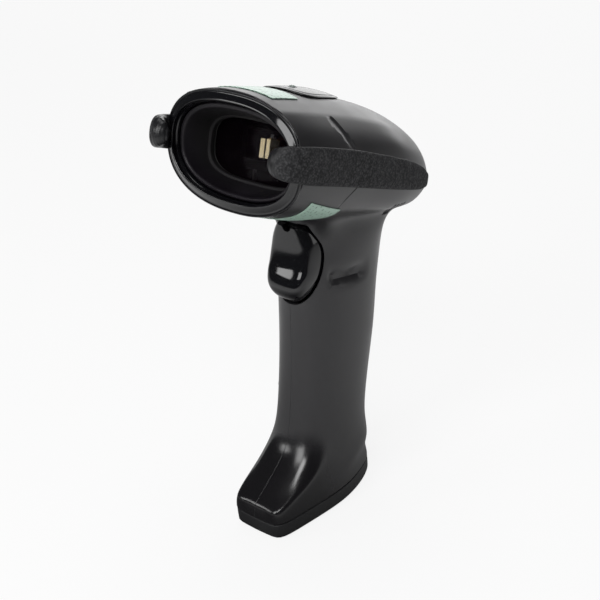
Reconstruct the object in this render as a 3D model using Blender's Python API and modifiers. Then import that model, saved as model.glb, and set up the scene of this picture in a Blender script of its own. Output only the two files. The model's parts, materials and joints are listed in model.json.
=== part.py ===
"""Handheld barcode scanner, standing on its base: two housing half shells that hold a laser
scan engine behind a window in the mouth, a main board in the handle, a sprung trigger, rubber
side bumpers and a base cap with the cable socket.

World frame: +Z up from the flat base face, the mouth faces -Y, symmetric about X = 0.
Head pieces are placed in the head's own frame: x across, d rearward, h along the head's normal.
All dimensions below are millimetres; the meshes are metres.
"""
from math import cos, pi, radians, sin, tan

import bmesh
import bpy
from mathutils import Matrix, Vector
from mathutils.bvhtree import BVHTree

MM = 0.001
GAP = 0.3                     # clearance between neighbouring pieces

# Head frame: its origin is midway between the two bumper knobs.
HEAD_TILT = radians(18.0)     # nose up
HEAD_Y = -25.9
HEAD_Z = 159.84
RIM_SLANT = tan(radians(7.6))  # the mouth's top edge stands forward of its bottom edge

# Mouth rim
RIM_D = 5.8                   # front face of the bezel, at h = 0
RIM_HALF_WIDTH = 32.7
RIM_MID_H = -3.1
RIM_TOP = 22.1
RIM_BOTTOM = 20.5
BEZEL_DEPTH = 5.0
BEZEL_WIDTH = 4.6

# Housing
WALL = 2.2
SPLIT = 0.15                  # each half stops this far from the centre plane
HOUSING_FLOOR = 7.0           # lowest edge of the housing, above the base cap
SUBDIVISION = 1
HEAD_ANGLES = (104.0, 128.0, 150.0, 167.5, 180.0)
UPPER_POWER = 2.48            # superellipse powers of the mouth and of the head's underside
LOWER_POWER = 2.32

# Head stations: d, slant share, top, crease x, crease h, half width, side h, bottom
HEAD_STATIONS = (
    (5.0, 1.00, 19.2, 22.6, 15.2, 32.6, -3.1, -23.2),
    (16.0, 0.80, 19.7, 22.5, 14.9, 32.9, -3.2, -24.4),
    (29.0, 0.30, 19.6, 22.0, 14.1, 32.6, -3.8, -25.8),
    (42.0, 0.00, 18.9, 21.6, 13.0, 31.8, -5.0, -26.6),
    (53.0, 0.00, 17.5, 21.2, 11.9, 30.8, -6.0, -27.0),
    (64.0, 0.00, 15.7, 20.6, 10.2, 29.8, -7.0, -27.1),
    (75.0, 0.00, 13.1, 19.3, 7.4, 28.3, -8.0, -27.0),
    (86.0, 0.00, 9.3, 17.2, 3.9, 25.6, -9.3, -26.0),
    (94.0, 0.00, 4.9, 14.4, 0.4, 22.0, -10.6, -23.6),
    (98.6, 0.00, -0.8, 10.0, -3.4, 15.8, -11.2, -20.3),
)
HEAD_END = 100.6              # rearmost point of the head
HOLE_FIRST, HOLE_LAST = 3, 7  # stations that bound the handle's opening in the underside

# Handle rings: front y and z, back y and z, half width, power of the superellipse.
# The upper rings lean towards the head's underside.
HANDLE_RINGS = (
    (4.9, 114.5, 49.4, 102.0, 15.9, 2.3),
    (2.9, 102.5, 46.9, 92.5, 15.1, 2.3),
    (0.7, 86.5, 43.5, 80.5, 15.0, 2.3),
    (-1.3, 68.5, 40.0, 65.5, 15.0, 2.3),
    (-4.2, 50.0, 35.0, 50.0, 15.0, 2.3),
    (-7.6, 35.0, 30.8, 35.0, 15.0, 2.35),
    (-12.2, 26.0, 29.2, 26.0, 15.1, 2.5),
    (-21.5, 18.5, 28.9, 18.5, 15.3, 2.8),
)
TOE_REACH = 32.0              # how far the toe's tip stands forward
# Base outline, from the toe to the heel: x, y
BASE_OUTLINE = (
    (0.0, -TOE_REACH), (6.4, -31.8), (11.8, -29.6), (14.2, -19.0), (15.9, -4.0),
    (15.6, 9.0), (12.2, 21.4), (6.8, 28.8), (0.0, 31.2),
)
TOE_EDGE_Z = 11.5             # height of the toe's upper front edge
TOE_SETBACK = 2.6             # how far that edge lies behind the toe's tip
TOE_DRAW_IN = 0.3             # how much narrower the outline is there
BASE_HEIGHT = 6.7
BASE_WALL = 2.0

# Bumper stations: x, d, half thickness, top, bottom
BUMPER_STATIONS = (
    (24.9, 0.4, 1.3, 3.2, -3.2),
    (25.8, 0.2, 2.6, 4.9, -4.9),
    (27.6, 0.0, 3.2, 5.5, -5.5),
    (29.6, 0.3, 3.1, 5.7, -5.7),
    (31.4, 1.7, 2.7, 5.8, -6.0),
    (32.7, 4.8, 2.0, 5.8, -6.4),
    (33.1, 9.0, 1.7, 5.7, -6.9),
    (33.2, 16.0, 1.7, 5.4, -7.6),
    (32.9, 34.0, 1.8, 3.9, -9.1),
    (31.3, 55.0, 1.9, 0.9, -11.2),
    (29.6, 70.0, 1.9, -1.7, -12.6),
    (28.0, 80.0, 2.0, -4.5, -13.3),
    (27.1, 84.9, 1.6, -7.0, -12.9),
)
BUMPER_SIDES = 12
BUMPER_POWER = 3.6            # superellipse power of a bumper's section

# Trigger
TRIGGER_PIVOT = (12.5, 114.8)  # y, z of the hinge
TRIGGER_BACK = 11.4
TRIGGER_SIDE_GAP = 1.0
NOSE_Z = 100.0                # the nose that presses the switch
# Opening in the handle: z, half width
SLOT_OUTLINE = (
    (118.4, 8.9), (114.0, 10.0), (109.0, 11.0), (104.0, 11.3), (99.0, 10.8), (94.5, 9.4),
    (91.0, 7.4), (88.4, 5.0), (87.0, 2.6),
)
# Trigger sections: z, y of the finger face at the middle
TRIGGER_FACE = (
    (117.8, 3.0), (113.0, 2.4), (108.0, 1.6), (103.0, 0.0), (99.0, -2.0), (95.5, -3.2),
    (92.6, -3.0), (90.0, -1.6), (88.4, 0.6),
)
PIN_RADIUS = 1.0
PIN_HALF = 10.8

# Main board frame, leaning with the handle
BOARD_LEAN = radians(11.0)
BOARD_Y = 19.5
BOARD_Z = 66.0
BOARD_HALF = (9.2, 0.6, 39.0)


# ---------------------------------------------------------------- scene helpers

def clear_scene():
    for obj in list(bpy.data.objects):
        bpy.data.objects.remove(obj, do_unlink=True)


def make_collection(name):
    collection = bpy.data.collections.new(name)
    bpy.context.scene.collection.children.link(collection)
    return collection


def make_material(name, colour, roughness, metallic=0.0, transmission=0.0):
    material = bpy.data.materials.new(name)
    material.use_nodes = True
    shader = material.node_tree.nodes["Principled BSDF"]
    shader.inputs["Base Color"].default_value = (*colour, 1.0)
    shader.inputs["Roughness"].default_value = roughness
    shader.inputs["Metallic"].default_value = metallic
    shader.inputs["Transmission Weight"].default_value = transmission
    material.diffuse_color = (*colour, 1.0)
    return material


clear_scene()
PARTS = make_collection("barcode_scanner")
CUTTERS = make_collection("cutters")
SATIN = make_material("satin_black", (0.030, 0.030, 0.033), 0.42)
GLOSS = make_material("gloss_black", (0.012, 0.012, 0.014), 0.10)
LINER = make_material("liner_black", (0.016, 0.014, 0.020), 0.55)
RUBBER = make_material("rubber_grey", (0.055, 0.056, 0.060), 0.85)
WINDOW = make_material("window_tint", (0.10, 0.02, 0.03), 0.04, 0.0, 0.9)
LABEL = make_material("label_green", (0.62, 0.76, 0.68), 0.50)
LENS = make_material("lens_clear", (0.85, 0.90, 0.88), 0.10, 0.0, 0.6)
STEEL = make_material("steel", (0.55, 0.55, 0.57), 0.30, 1.0)
BRASS = make_material("brass", (0.72, 0.52, 0.22), 0.22, 1.0)
COPPER = make_material("copper_wire", (0.60, 0.26, 0.12), 0.35, 1.0)
ALLOY = make_material("die_cast_alloy", (0.42, 0.43, 0.45), 0.45, 1.0)
CIRCUIT = make_material("circuit_green", (0.02, 0.16, 0.07), 0.45)
CHIP = make_material("chip_black", (0.02, 0.02, 0.02), 0.5)
WHITE = make_material("white_plastic", (0.75, 0.75, 0.72), 0.5)


def make_frame(name, y, z, tilt):
    frame = bpy.data.objects.new(name, None)
    frame.location = (0.0, y * MM, z * MM)
    frame.rotation_euler = (tilt, 0.0, 0.0)
    bpy.context.scene.collection.objects.link(frame)
    bpy.context.view_layer.update()
    return frame


HEAD = make_frame("head_frame", HEAD_Y, HEAD_Z, -HEAD_TILT)
BOARD = make_frame("board_frame", BOARD_Y, BOARD_Z, -BOARD_LEAN)
HINGE = make_frame("trigger_hinge", *TRIGGER_PIVOT, 0.0)


def head_to_world(x, d, h):
    """World position, in millimetres, of a point given in the head's frame."""
    return Vector((x,
                   HEAD_Y + d * cos(HEAD_TILT) + h * sin(HEAD_TILT),
                   HEAD_Z - d * sin(HEAD_TILT) + h * cos(HEAD_TILT)))


def add_object(name, mesh, material=None, frame=None, collection=None, smooth=35.0):
    """Links a mesh as an object that sits in a frame, with rounded faces shaded smooth."""
    obj = bpy.data.objects.new(name, mesh)
    (collection or PARTS).objects.link(obj)
    obj.parent = frame
    if material:
        mesh.materials.clear()
        mesh.materials.append(material)
    mesh.shade_smooth()
    mesh.set_sharp_from_angle(angle=radians(smooth))
    bpy.context.view_layer.update()
    return obj


def mesh_from(bm, name):
    bmesh.ops.recalc_face_normals(bm, faces=bm.faces)
    mesh = bpy.data.meshes.new(name)
    bm.to_mesh(mesh)
    bm.free()
    return mesh


def apply_modifiers(obj):
    """Replaces the object's mesh by what its modifiers make of it."""
    bpy.context.view_layer.update()
    graph = bpy.context.evaluated_depsgraph_get()
    mesh = bpy.data.meshes.new_from_object(obj.evaluated_get(graph))
    obj.modifiers.clear()
    obj.data = mesh
    return obj


def as_cutter(obj):
    PARTS.objects.unlink(obj)
    CUTTERS.objects.link(obj)
    obj.hide_render = True
    obj.display_type = "WIRE"
    return obj


def combine(obj, other, operation, solver="EXACT"):
    """Cuts, joins or intersects obj with other, which becomes a hidden helper."""
    if other.name in PARTS.objects:
        as_cutter(other)
    modifier = obj.modifiers.new(operation.lower(), "BOOLEAN")
    modifier.operation = operation
    modifier.solver = solver
    modifier.object = other
    return apply_modifiers(obj)


# ---------------------------------------------------------------- shape helpers

def box(name, centre, size, material=None, frame=None, bevel=0.0):
    bm = bmesh.new()
    bmesh.ops.create_cube(bm, size=1.0)
    bmesh.ops.scale(bm, vec=Vector(size) * MM, verts=bm.verts)
    bmesh.ops.translate(bm, vec=Vector(centre) * MM, verts=bm.verts)
    if bevel:
        bmesh.ops.bevel(bm, geom=bm.edges[:], offset=bevel * MM, segments=1, affect="EDGES")
    return add_object(name, mesh_from(bm, name), material, frame)


def cylinder(name, centre, radius, length, axis="X", material=None, frame=None, sides=20,
             top_radius=None):
    """A round bar, or a cone, centred on a point and lying along X, Y or Z."""
    bm = bmesh.new()
    bmesh.ops.create_cone(bm, cap_ends=True, segments=sides, radius1=radius * MM,
                          radius2=(radius if top_radius is None else top_radius) * MM,
                          depth=length * MM)
    turn = {"X": Matrix.Rotation(pi / 2, 4, "Y"), "Y": Matrix.Rotation(-pi / 2, 4, "X"),
            "Z": Matrix.Identity(4)}[axis]
    bmesh.ops.transform(bm, matrix=Matrix.Translation(Vector(centre) * MM) @ turn, verts=bm.verts)
    return add_object(name, mesh_from(bm, name), material, frame)


def loft(name, rings, material=None, frame=None, capped=True, looped=False, **options):
    """A skin over rings of points. Capped ends close it; a looped loft closes on itself."""
    bm = bmesh.new()
    rows = [[bm.verts.new(Vector(point) * MM) for point in ring] for ring in rings]
    count = len(rows[0])
    pairs = list(zip(rows, rows[1:] + rows[:1])) if looped else list(zip(rows, rows[1:]))
    for first, second in pairs:
        for i in range(count):
            j = (i + 1) % count
            bm.faces.new((first[i], first[j], second[j], second[i]))
    if capped and not looped:
        bm.faces.new(rows[0][::-1])
        bm.faces.new(rows[-1])
    return add_object(name, mesh_from(bm, name), material, frame, **options)


def superellipse(angle, power):
    """Unit superellipse point: angle 0 is up, and a quarter turn is +x."""
    def stretch(value):
        return (1 if value >= 0 else -1) * abs(value) ** (2.0 / power)
    return stretch(sin(angle)), stretch(cos(angle))


def rim_point(angle, inset, depth):
    """Head-frame point on the mouth's outline, moved inwards and rearwards."""
    x, h = superellipse(angle, UPPER_POWER if cos(angle) > 0 else LOWER_POWER)
    height = RIM_TOP if h > 0 else RIM_BOTTOM
    h = RIM_MID_H + h * (height - inset)
    return (x * (RIM_HALF_WIDTH - inset), RIM_D + depth - h * RIM_SLANT, h)


def mouth_ring(name, profile, material, segments=44):
    """A ring round the mouth: the profile's points are (inset, depth)."""
    rings = [[rim_point(2 * pi * i / segments, inset, depth) for inset, depth in profile]
             for i in range(segments)]
    return loft(name, rings, material, HEAD, looped=True)


# ---------------------------------------------------------------- housing

def head_station_half(station):
    """Points down one side of a head section, from the top middle to the bottom middle."""
    d, slant, top, crease_x, crease_h, width, side_h, bottom = station
    points = [
        (0.0, top),
        (0.52 * crease_x, top - 0.23 * (top - crease_h)),
        (crease_x, crease_h),
        (crease_x + 0.66 * (width - crease_x), side_h + 0.56 * (crease_h - side_h)),
        (width, side_h),
    ]
    for degrees in HEAD_ANGLES:
        x, h = superellipse(radians(degrees), LOWER_POWER)
        points.append((x * width, side_h + h * (side_h - bottom)))
    points[-1] = (0.0, bottom)
    return [(x, d - h * RIM_SLANT * slant, h) for x, h in points]


def full_section(half):
    """The whole section from one side: down the +x side and back up the -x side."""
    return half + [(-x, d, h) for x, d, h in half[-2:0:-1]]


def handle_section(ring):
    """Sixteen points round the handle, from the front middle towards -x."""
    front, front_z, back, back_z, width, power = ring
    points = []
    for i in range(16):
        x, forward = superellipse(2 * pi * i / 16, power)
        share = (1 + forward) / 2
        points.append((-x * width, back + share * (front - back), back_z + share * (front_z - back_z)))
    return points


def base_section(z, toe_setback=0.0, grow=0.0):
    """Sixteen points round the base outline, in the handle section's order."""
    half = []
    for x, y in BASE_OUTLINE:
        back = toe_setback * max(0.0, -y / TOE_REACH) ** 2
        half.append((x + (grow if x else 0.0), y + back + grow * y / TOE_REACH))
    points = [(-x, y, z) for x, y in half] + [(x, y, z) for x, y in half[-2:0:-1]]
    return points


def closing_patch(bm, ring, end):
    """Closes the head's rear with a grid of four by five faces between its corner points."""
    rows = [[ring[(-2 + i) % 18] for i in range(5)]]
    left = [ring[(-2 - j) % 18] for j in range(6)]
    right = [ring[2 + j] for j in range(6)]
    last = [ring[(-7 - i) % 18] for i in range(5)]
    for j in range(1, 5):
        row = [left[j]]
        for i in range(1, 4):
            u, v = i / 4, j / 5
            across = left[j].co.lerp(right[j].co, u)
            down = rows[0][i].co.lerp(last[i].co, v)
            corners = rows[0][0].co.lerp(rows[0][4].co, u).lerp(last[0].co.lerp(last[4].co, u), v)
            point = across + down - corners
            bulge = (1 - (2 * u - 1) ** 4) * (1 - (2 * v - 1) ** 4)
            point = point + Vector((0, (end - point).y, 0)) * 0.55 * bulge
            row.append(bm.verts.new(point))
        rows.append(row + [right[j]])
    rows.append(last)
    for upper, lower in zip(rows, rows[1:]):
        for i in range(4):
            bm.faces.new((upper[i], upper[i + 1], lower[i + 1], lower[i]))


def housing_cage():
    """The coarse cage of the whole outer skin, open at the mouth and under the base."""
    bm = bmesh.new()
    head = []
    for station in HEAD_STATIONS:
        section = full_section(head_station_half(station))
        head.append([bm.verts.new(head_to_world(*point) * MM) for point in section])
    for number, (first, second) in enumerate(zip(head, head[1:])):
        for i in range(18):
            in_hole = HOLE_FIRST <= number < HOLE_LAST and 7 <= i < 11
            if not in_hole:
                j = (i + 1) % 18
                bm.faces.new((first[i], first[j], second[j], second[i]))
    closing_patch(bm, head[-1], head_to_world(0, HEAD_END, -10.5) * MM)

    front, back = head[HOLE_FIRST], head[HOLE_LAST]
    sides = head[HOLE_FIRST + 1:HOLE_LAST]
    ring = [front[9], front[10], front[11]] + [row[11] for row in sides]
    ring += [back[i] for i in (11, 10, 9, 8, 7)]
    ring += [row[7] for row in reversed(sides)] + [front[7], front[8]]
    sections = [handle_section(item) for item in HANDLE_RINGS]
    sections.append(base_section(TOE_EDGE_Z, toe_setback=TOE_SETBACK, grow=-TOE_DRAW_IN))
    sections.append(base_section(HOUSING_FLOOR))
    sections.append(base_section(HOUSING_FLOOR - 3.0))
    for section in sections:
        following = [bm.verts.new(Vector(point) * MM) for point in section]
        for i in range(16):
            j = (i + 1) % 16
            bm.faces.new((ring[i], ring[j], following[j], following[i]))
        ring = following

    crease = bm.edges.layers.float.new("crease_edge")
    for number, (first, second) in enumerate(zip(head, head[1:])):
        weight = max(0.0, 0.8 - 0.13 * max(0, number - 3))
        for i in (2, 16):
            bm.edges.get((first[i], second[i]))[crease] = weight
    return mesh_from(bm, "housing_cage")


def fit_cage(obj, rounds=6):
    """Moves the cage's points until the smooth surface passes through where they began."""
    targets = [vertex.co.copy() for vertex in obj.data.vertices]
    for _ in range(rounds):
        bpy.context.view_layer.update()
        graph = bpy.context.evaluated_depsgraph_get()
        smooth = obj.evaluated_get(graph).data
        moves = [target - smooth.vertices[i].co for i, target in enumerate(targets)]
        for vertex, move in zip(obj.data.vertices, moves):
            vertex.co += move
        obj.data.update()


def housing_shell():
    """The whole housing as one thick shell, before it is split and cut."""
    shell = add_object("housing_shell", housing_cage(), SATIN)
    smooth = shell.modifiers.new("smooth", "SUBSURF")
    smooth.levels = smooth.render_levels = SUBDIVISION
    fit_cage(shell)
    apply_modifiers(shell)
    skin = BVHTree.FromPolygons([vertex.co for vertex in shell.data.vertices],
                                [tuple(face.vertices) for face in shell.data.polygons])
    wall = shell.modifiers.new("wall", "SOLIDIFY")
    wall.thickness = WALL * MM
    wall.offset = -1.0
    return apply_modifiers(shell), skin


def bumper_rings(side, grow=0.0):
    """Rings along one bumper, hooked round the front corner of the head."""
    rings = []
    last = len(BUMPER_STATIONS) - 1
    for number, (x, d, thick, top, bottom) in enumerate(BUMPER_STATIONS):
        before = BUMPER_STATIONS[max(0, number - 1)]
        after = BUMPER_STATIONS[min(last, number + 1)]
        along = Vector((after[0] - before[0], after[1] - before[1])).normalized()
        outward = Vector((along.y, -along.x))
        shift = 0.0
        if number in (0, last):
            shift = -grow if number == 0 else grow
        middle, tall = (top + bottom) / 2, (top - bottom) / 2 + grow
        ring = []
        for i in range(BUMPER_SIDES):
            u, v = superellipse(2 * pi * (i + 0.5) / BUMPER_SIDES, BUMPER_POWER)
            px = x + outward.x * u * (thick + grow) + along.x * shift
            pd = d + outward.y * u * (thick + grow) + along.y * shift
            ring.append((side * px, pd, middle + v * tall))
        rings.append(ring)
    return rings


def slot_half_width(z):
    for (upper, wide), (lower, narrow) in zip(SLOT_OUTLINE, SLOT_OUTLINE[1:]):
        if lower <= z <= upper:
            return narrow + (wide - narrow) * (z - lower) / (upper - lower)
    return SLOT_OUTLINE[-1][1]


def slot_cutter():
    """The trigger's opening in the front wall, wider in the middle than at its ends."""
    outline = [(-x, z) for z, x in SLOT_OUTLINE] + [(x, z) for z, x in reversed(SLOT_OUTLINE)]
    return loft("slot_cutter", [[(x, y, z) for x, z in outline] for y in (-14.0, 13.4)])


def slanted_box(name, d, depth):
    """A wide slab whose rear face lies on the mouth's slanted plane at depth d."""
    corners = ((-60, -60), (60, -60), (60, 60), (-60, 60))
    rings = [[(x, front - h * RIM_SLANT, h) for x, h in corners] for front in (d - depth, d)]
    return loft(name, rings, None, HEAD)


# Screws that hold the halves together: y, z
HOUSING_SCREWS = ((6.2, 45.0), (34.5, 91.0), (50.0, 128.5))
SCREW_RADIUS = 1.25
SCREW_HEAD_RADIUS = 2.4
BOSS_RADIUS = 3.4
SINK_DEPTH = 3.0              # how far the housing screws' heads lie below the skin
CAP_SCREWS = (6.2, 19.5)      # x, y; one each side
BOARD_SCREWS = (6.4, -27.0)   # x, height in the board's frame; one each side
ENGINE_SCREWS = (18.0, 40.0)  # x, d; one each side
ENGINE_FLOOR = -10.0          # underside of the engine chassis, in the head's frame
LENS_D = 35.0
LENS_RADIUS = 1.5


def skin_half_width(skin, y, z):
    """How far the outer skin lies from the centre plane."""
    hit = skin.ray_cast(Vector((100, y, z)) * MM, Vector((-1, 0, 0)))[0]
    return hit.x / MM


def add_boss(half, side, y, z, start, reach, bore, bore_reach, name):
    """Joins a round boss to the inside of a half, then bores it from its inner end."""
    boss = cylinder(name, (side * (start + reach) / 2, y, z), BOSS_RADIUS, reach - start, sides=16)
    combine(half, boss, "UNION")
    length = bore_reach - start + 1.0
    middle = side * (start - 1.0 + length / 2)
    combine(half, cylinder(name + "_bore", (middle, y, z), bore, length, sides=12), "DIFFERENCE")


def add_post(half, name, centre, length, axis, frame=None, bore=1.0):
    """Joins a screw post that stands on a wall, then bores it right to its open end."""
    combine(half, cylinder(name, centre, 2.6, length, axis, frame=frame, sides=16), "UNION")
    combine(half, cylinder(name + "_bore", centre, bore, length + 0.2, axis, frame=frame, sides=12),
            "DIFFERENCE")


def housing_half(shell, skin, side, name):
    half = add_object(name, shell.data.copy(), SATIN)
    combine(half, box(name + "_room", (side * (SPLIT + 50), 10, 100), (100, 200, 300)), "INTERSECT")
    below = box(name + "_below", (0, 0, HOUSING_FLOOR - 20), (100, 120, 40))
    combine(half, below, "DIFFERENCE")
    combine(half, slanted_box(name + "_front", RIM_D + BEZEL_DEPTH, 20.0), "DIFFERENCE")
    combine(half, slot_cutter(), "DIFFERENCE", solver="MANIFOLD")
    pocket = loft(name + "_pocket", bumper_rings(side, GAP), None, HEAD)
    combine(half, pocket, "DIFFERENCE")
    lens_hole = cylinder(name + "_lens_hole", (0, LENS_D, 19.0), LENS_RADIUS + GAP, 16, "Z",
                         frame=HEAD, sides=16)
    combine(half, lens_hole, "DIFFERENCE")

    y, z = TRIGGER_PIVOT
    skin_x = skin_half_width(skin, y, z)
    add_boss(half, side, y, z, PIN_HALF - 1.4, skin_x - 1.0, PIN_RADIUS + GAP, PIN_HALF + GAP,
             name + "_pin_boss")
    for number, (y, z) in enumerate(HOUSING_SCREWS):
        skin_x = skin_half_width(skin, y, z)
        boss = "{}_boss_{}".format(name, number)
        bore = 1.0 if side > 0 else SCREW_RADIUS + GAP
        reach = 9.0 if side > 0 else skin_x + 5.0
        add_boss(half, side, y, z, SPLIT, skin_x - 1.0, bore, reach, boss)
        if side < 0:
            sink = cylinder(boss + "_sink", (-(skin_x - SINK_DEPTH + 10.0), y, z),
                            SCREW_HEAD_RADIUS + GAP, 20.0, sides=16)
            combine(half, sink, "DIFFERENCE")

    x, y = CAP_SCREWS
    rib = box(name + "_cap_rib", (side * x, y + 4.4, HOUSING_FLOOR + 5.0), (1.8, 8.8, 9.4))
    combine(half, rib, "UNION")
    add_post(half, name + "_cap_post", (side * x, y, HOUSING_FLOOR + 5.0), 9.4, "Z")
    x, height = BOARD_SCREWS
    add_post(half, name + "_board_post", (side * x, BOARD_HALF[1] + GAP + 7.2, height), 14.4, "Y", BOARD)
    x, d = ENGINE_SCREWS
    add_post(half, name + "_engine_post", (side * x, d, ENGINE_FLOOR - GAP - 6.5), 13.0, "Z", HEAD)
    half.data.shade_smooth()
    half.data.set_sharp_from_angle(angle=radians(30))
    return half


def make_housing():
    """Both halves. It returns the outer skin, for the pieces that lie on it."""
    shell, skin = housing_shell()
    housing_half(shell, skin, -1, "housing_left")
    housing_half(shell, skin, 1, "housing_right")
    bpy.data.objects.remove(shell, do_unlink=True)
    return skin


# ---------------------------------------------------------------- mouth

def make_bezel():
    """The ring at the front: rounded face, inner wall down to the liner's lip."""
    profile = ((0.0, BEZEL_DEPTH - GAP), (0.0, 1.4), (0.5, 0.35), (1.5, 0.0), (3.2, 0.3),
               (BEZEL_WIDTH, 1.6), (BEZEL_WIDTH, 4.6), (2.4, BEZEL_DEPTH - GAP))
    bezel = mouth_ring("front_bezel", profile, GLOSS)
    for side in (-1, 1):
        pocket = loft("bezel_pocket_{}".format(side), bumper_rings(side, GAP), None, HEAD)
        combine(bezel, pocket, "DIFFERENCE", solver="MANIFOLD")


# The liner's funnel ends in the window's opening: half width, top, bottom, depth in the head
WINDOW_HALF_WIDTH = 24.0
WINDOW_TOP = 9.5
WINDOW_BOTTOM = -14.5
WINDOW_D = 22.0


def oblong(half_width, top, bottom, d, count=44, power=3.2):
    """A rounded rectangle in the head's frame."""
    middle, tall = (top + bottom) / 2, (top - bottom) / 2
    ring = []
    for i in range(count):
        x, h = superellipse(2 * pi * i / count, power)
        ring.append((x * half_width, d, middle + h * tall))
    return ring


def make_liner():
    """The funnel: a lip inside the bezel, walls that narrow, and a flange for the window."""
    lip = BEZEL_WIDTH + GAP
    def rim(inset, depth):
        return [rim_point(2 * pi * i / 44, inset, depth) for i in range(44)]
    rings = [
        rim(lip, 3.4), rim(lip + 1.0, 3.2), rim(lip + 1.5, 4.2),
        oblong(WINDOW_HALF_WIDTH, WINDOW_TOP, WINDOW_BOTTOM, WINDOW_D - 1.4),
        oblong(WINDOW_HALF_WIDTH - 1.2, WINDOW_TOP - 1.2, WINDOW_BOTTOM + 1.2, WINDOW_D - 1.2),
        oblong(WINDOW_HALF_WIDTH - 1.2, WINDOW_TOP - 1.2, WINDOW_BOTTOM + 1.2, WINDOW_D),
        oblong(WINDOW_HALF_WIDTH + 1.6, WINDOW_TOP + 1.6, WINDOW_BOTTOM - 1.6, WINDOW_D),
        rim(lip, 6.4),
    ]
    return loft("mouth_liner", rings, LINER, HEAD, looped=True)


def plate_ring(name, outer, inner, thickness, material, d):
    """A flat gasket between two rounded rectangles: (half width, top, bottom) each."""
    rings = [oblong(*outer, d), oblong(*outer, d + thickness),
             oblong(*inner, d + thickness), oblong(*inner, d)]
    return loft(name, rings, material, HEAD, looped=True)


def make_window():
    size = (WINDOW_HALF_WIDTH + 1.4, WINDOW_TOP + 1.4, WINDOW_BOTTOM - 1.4)
    opening = tuple(a + b for a, b in zip(size, (-2.4, -2.4, 2.4)))
    plate_ring("window_seal", size, opening, 0.6, RUBBER, WINDOW_D + GAP)
    front = WINDOW_D + GAP * 2 + 0.6
    rings = [oblong(*size, front), oblong(*size, front + 1.2)]
    loft("scan_window", rings, WINDOW, HEAD)


# ---------------------------------------------------------------- outside pieces

def make_bumpers():
    for side, name in ((-1, "bumper_left"), (1, "bumper_right")):
        loft(name, bumper_rings(side), RUBBER, HEAD)


def trigger_section(z, face_y):
    """A closed ring: a nearly flat finger face with round sides, and a flat back."""
    width = slot_half_width(z) - TRIGGER_SIDE_GAP
    ring = []
    for share in (-1.0, -0.985, -0.9, -0.7, -0.35, 0.0, 0.35, 0.7, 0.9, 0.985, 1.0):
        sag = 0.9 * share ** 2 + 3.4 * abs(share) ** 8
        rounding = 2.6 if abs(share) == 1.0 else 0.0
        ring.append((share * width, min(face_y + sag + rounding, TRIGGER_BACK - 1.5), z))
    return ring + [(width, TRIGGER_BACK, z), (0.0, TRIGGER_BACK, z), (-width, TRIGGER_BACK, z)]


def make_trigger():
    """The finger trigger, with a boss on its hinge pin and a nose that presses the switch."""
    pivot_y, pivot_z = TRIGGER_PIVOT
    rings = [[(x, y - pivot_y, z - pivot_z) for x, y, z in trigger_section(*section)]
             for section in TRIGGER_FACE]
    trigger = loft("trigger", rings, GLOSS)
    boss = cylinder("trigger_boss", (0, 0, 0), 2.6, 2 * (PIN_HALF - 1.4 - GAP))
    combine(trigger, boss, "UNION")
    nose = box("trigger_nose", (0, 2.0, NOSE_Z - pivot_z), (4.0, 8.0, 3.0))
    combine(trigger, nose, "UNION")
    bore = cylinder("trigger_bore", (0, 0, 0), PIN_RADIUS + GAP, 40.0)
    combine(trigger, bore, "DIFFERENCE")
    trigger.parent = HINGE
    cylinder("trigger_pin", (0, pivot_y, pivot_z), PIN_RADIUS, 2 * PIN_HALF, material=STEEL)


def make_base_cap():
    """A shallow tray under the housing, with the cable socket's opening in its floor."""
    rings = [base_section(0.0, grow=-0.9), base_section(0.5, grow=-0.25), base_section(1.1),
             base_section(BASE_HEIGHT)]
    cap = loft("base_cap", rings, SATIN)
    hollow = loft("base_hollow", [base_section(z, grow=-BASE_WALL) for z in (2.2, BASE_HEIGHT + 2)])
    combine(cap, hollow, "DIFFERENCE")
    for side, word in ((-1, "left"), (1, "right")):
        x, y = CAP_SCREWS
        post = cylinder("cap_post_" + word, (side * x, y, (BASE_HEIGHT + 1.0) / 2), 3.4,
                        BASE_HEIGHT - 1.0, "Z")
        combine(cap, post, "UNION")
        hole = cylinder("cap_hole_" + word, (side * x, y, 0), SCREW_RADIUS + GAP, 30, "Z")
        combine(cap, hole, "DIFFERENCE")
        sink = cylinder("cap_sink_" + word, (side * x, y, 0), SCREW_HEAD_RADIUS + GAP, 5.2, "Z")
        combine(cap, sink, "DIFFERENCE")
    opening = box("socket_opening", (0, SOCKET_Y, 0), (SOCKET_SIZE[0] + 0.8, SOCKET_SIZE[1] + 0.8, 30))
    combine(cap, opening, "DIFFERENCE")
    return cap


SOCKET_Y = 8.6
SOCKET_SIZE = (14.0, 12.0, 15.0)
SOCKET_FLOOR = 0.9            # the socket stands this far above the base face
SOCKET_HOLE = (11.8, 8.4, 12.5)


def make_socket():
    """The modular inlet for the cord: a deep rectangular hole with a latch notch, from below."""
    middle = SOCKET_FLOOR + SOCKET_SIZE[2] / 2
    socket = box("cable_socket", (0, SOCKET_Y, middle), SOCKET_SIZE, CHIP)
    hole = box("socket_hole", (0, SOCKET_Y - 0.6, SOCKET_FLOOR), (*SOCKET_HOLE[:2], 2 * SOCKET_HOLE[2]))
    combine(socket, hole, "DIFFERENCE")
    notch = box("socket_notch", (0, SOCKET_Y + 3.6, SOCKET_FLOOR), (4.6, 3.6, 18.0))
    combine(socket, notch, "DIFFERENCE")
    box("socket_contacts", (0, SOCKET_Y - 3.9, SOCKET_FLOOR + 8.0), (8.6, 0.5, 7.0), BRASS)


# Pieces that lie on the head's skin: first d, last d, then half widths at those ends
COVER = (28.0, 57.0, 13.2, 6.6)
TOP_LABEL = (11.0, 24.0, 13.0, 13.0)
UNDERSIDE_LABEL = (18.4, 37.4, 29.2, 26.7)
LABEL_THICKNESS = 0.3


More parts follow.
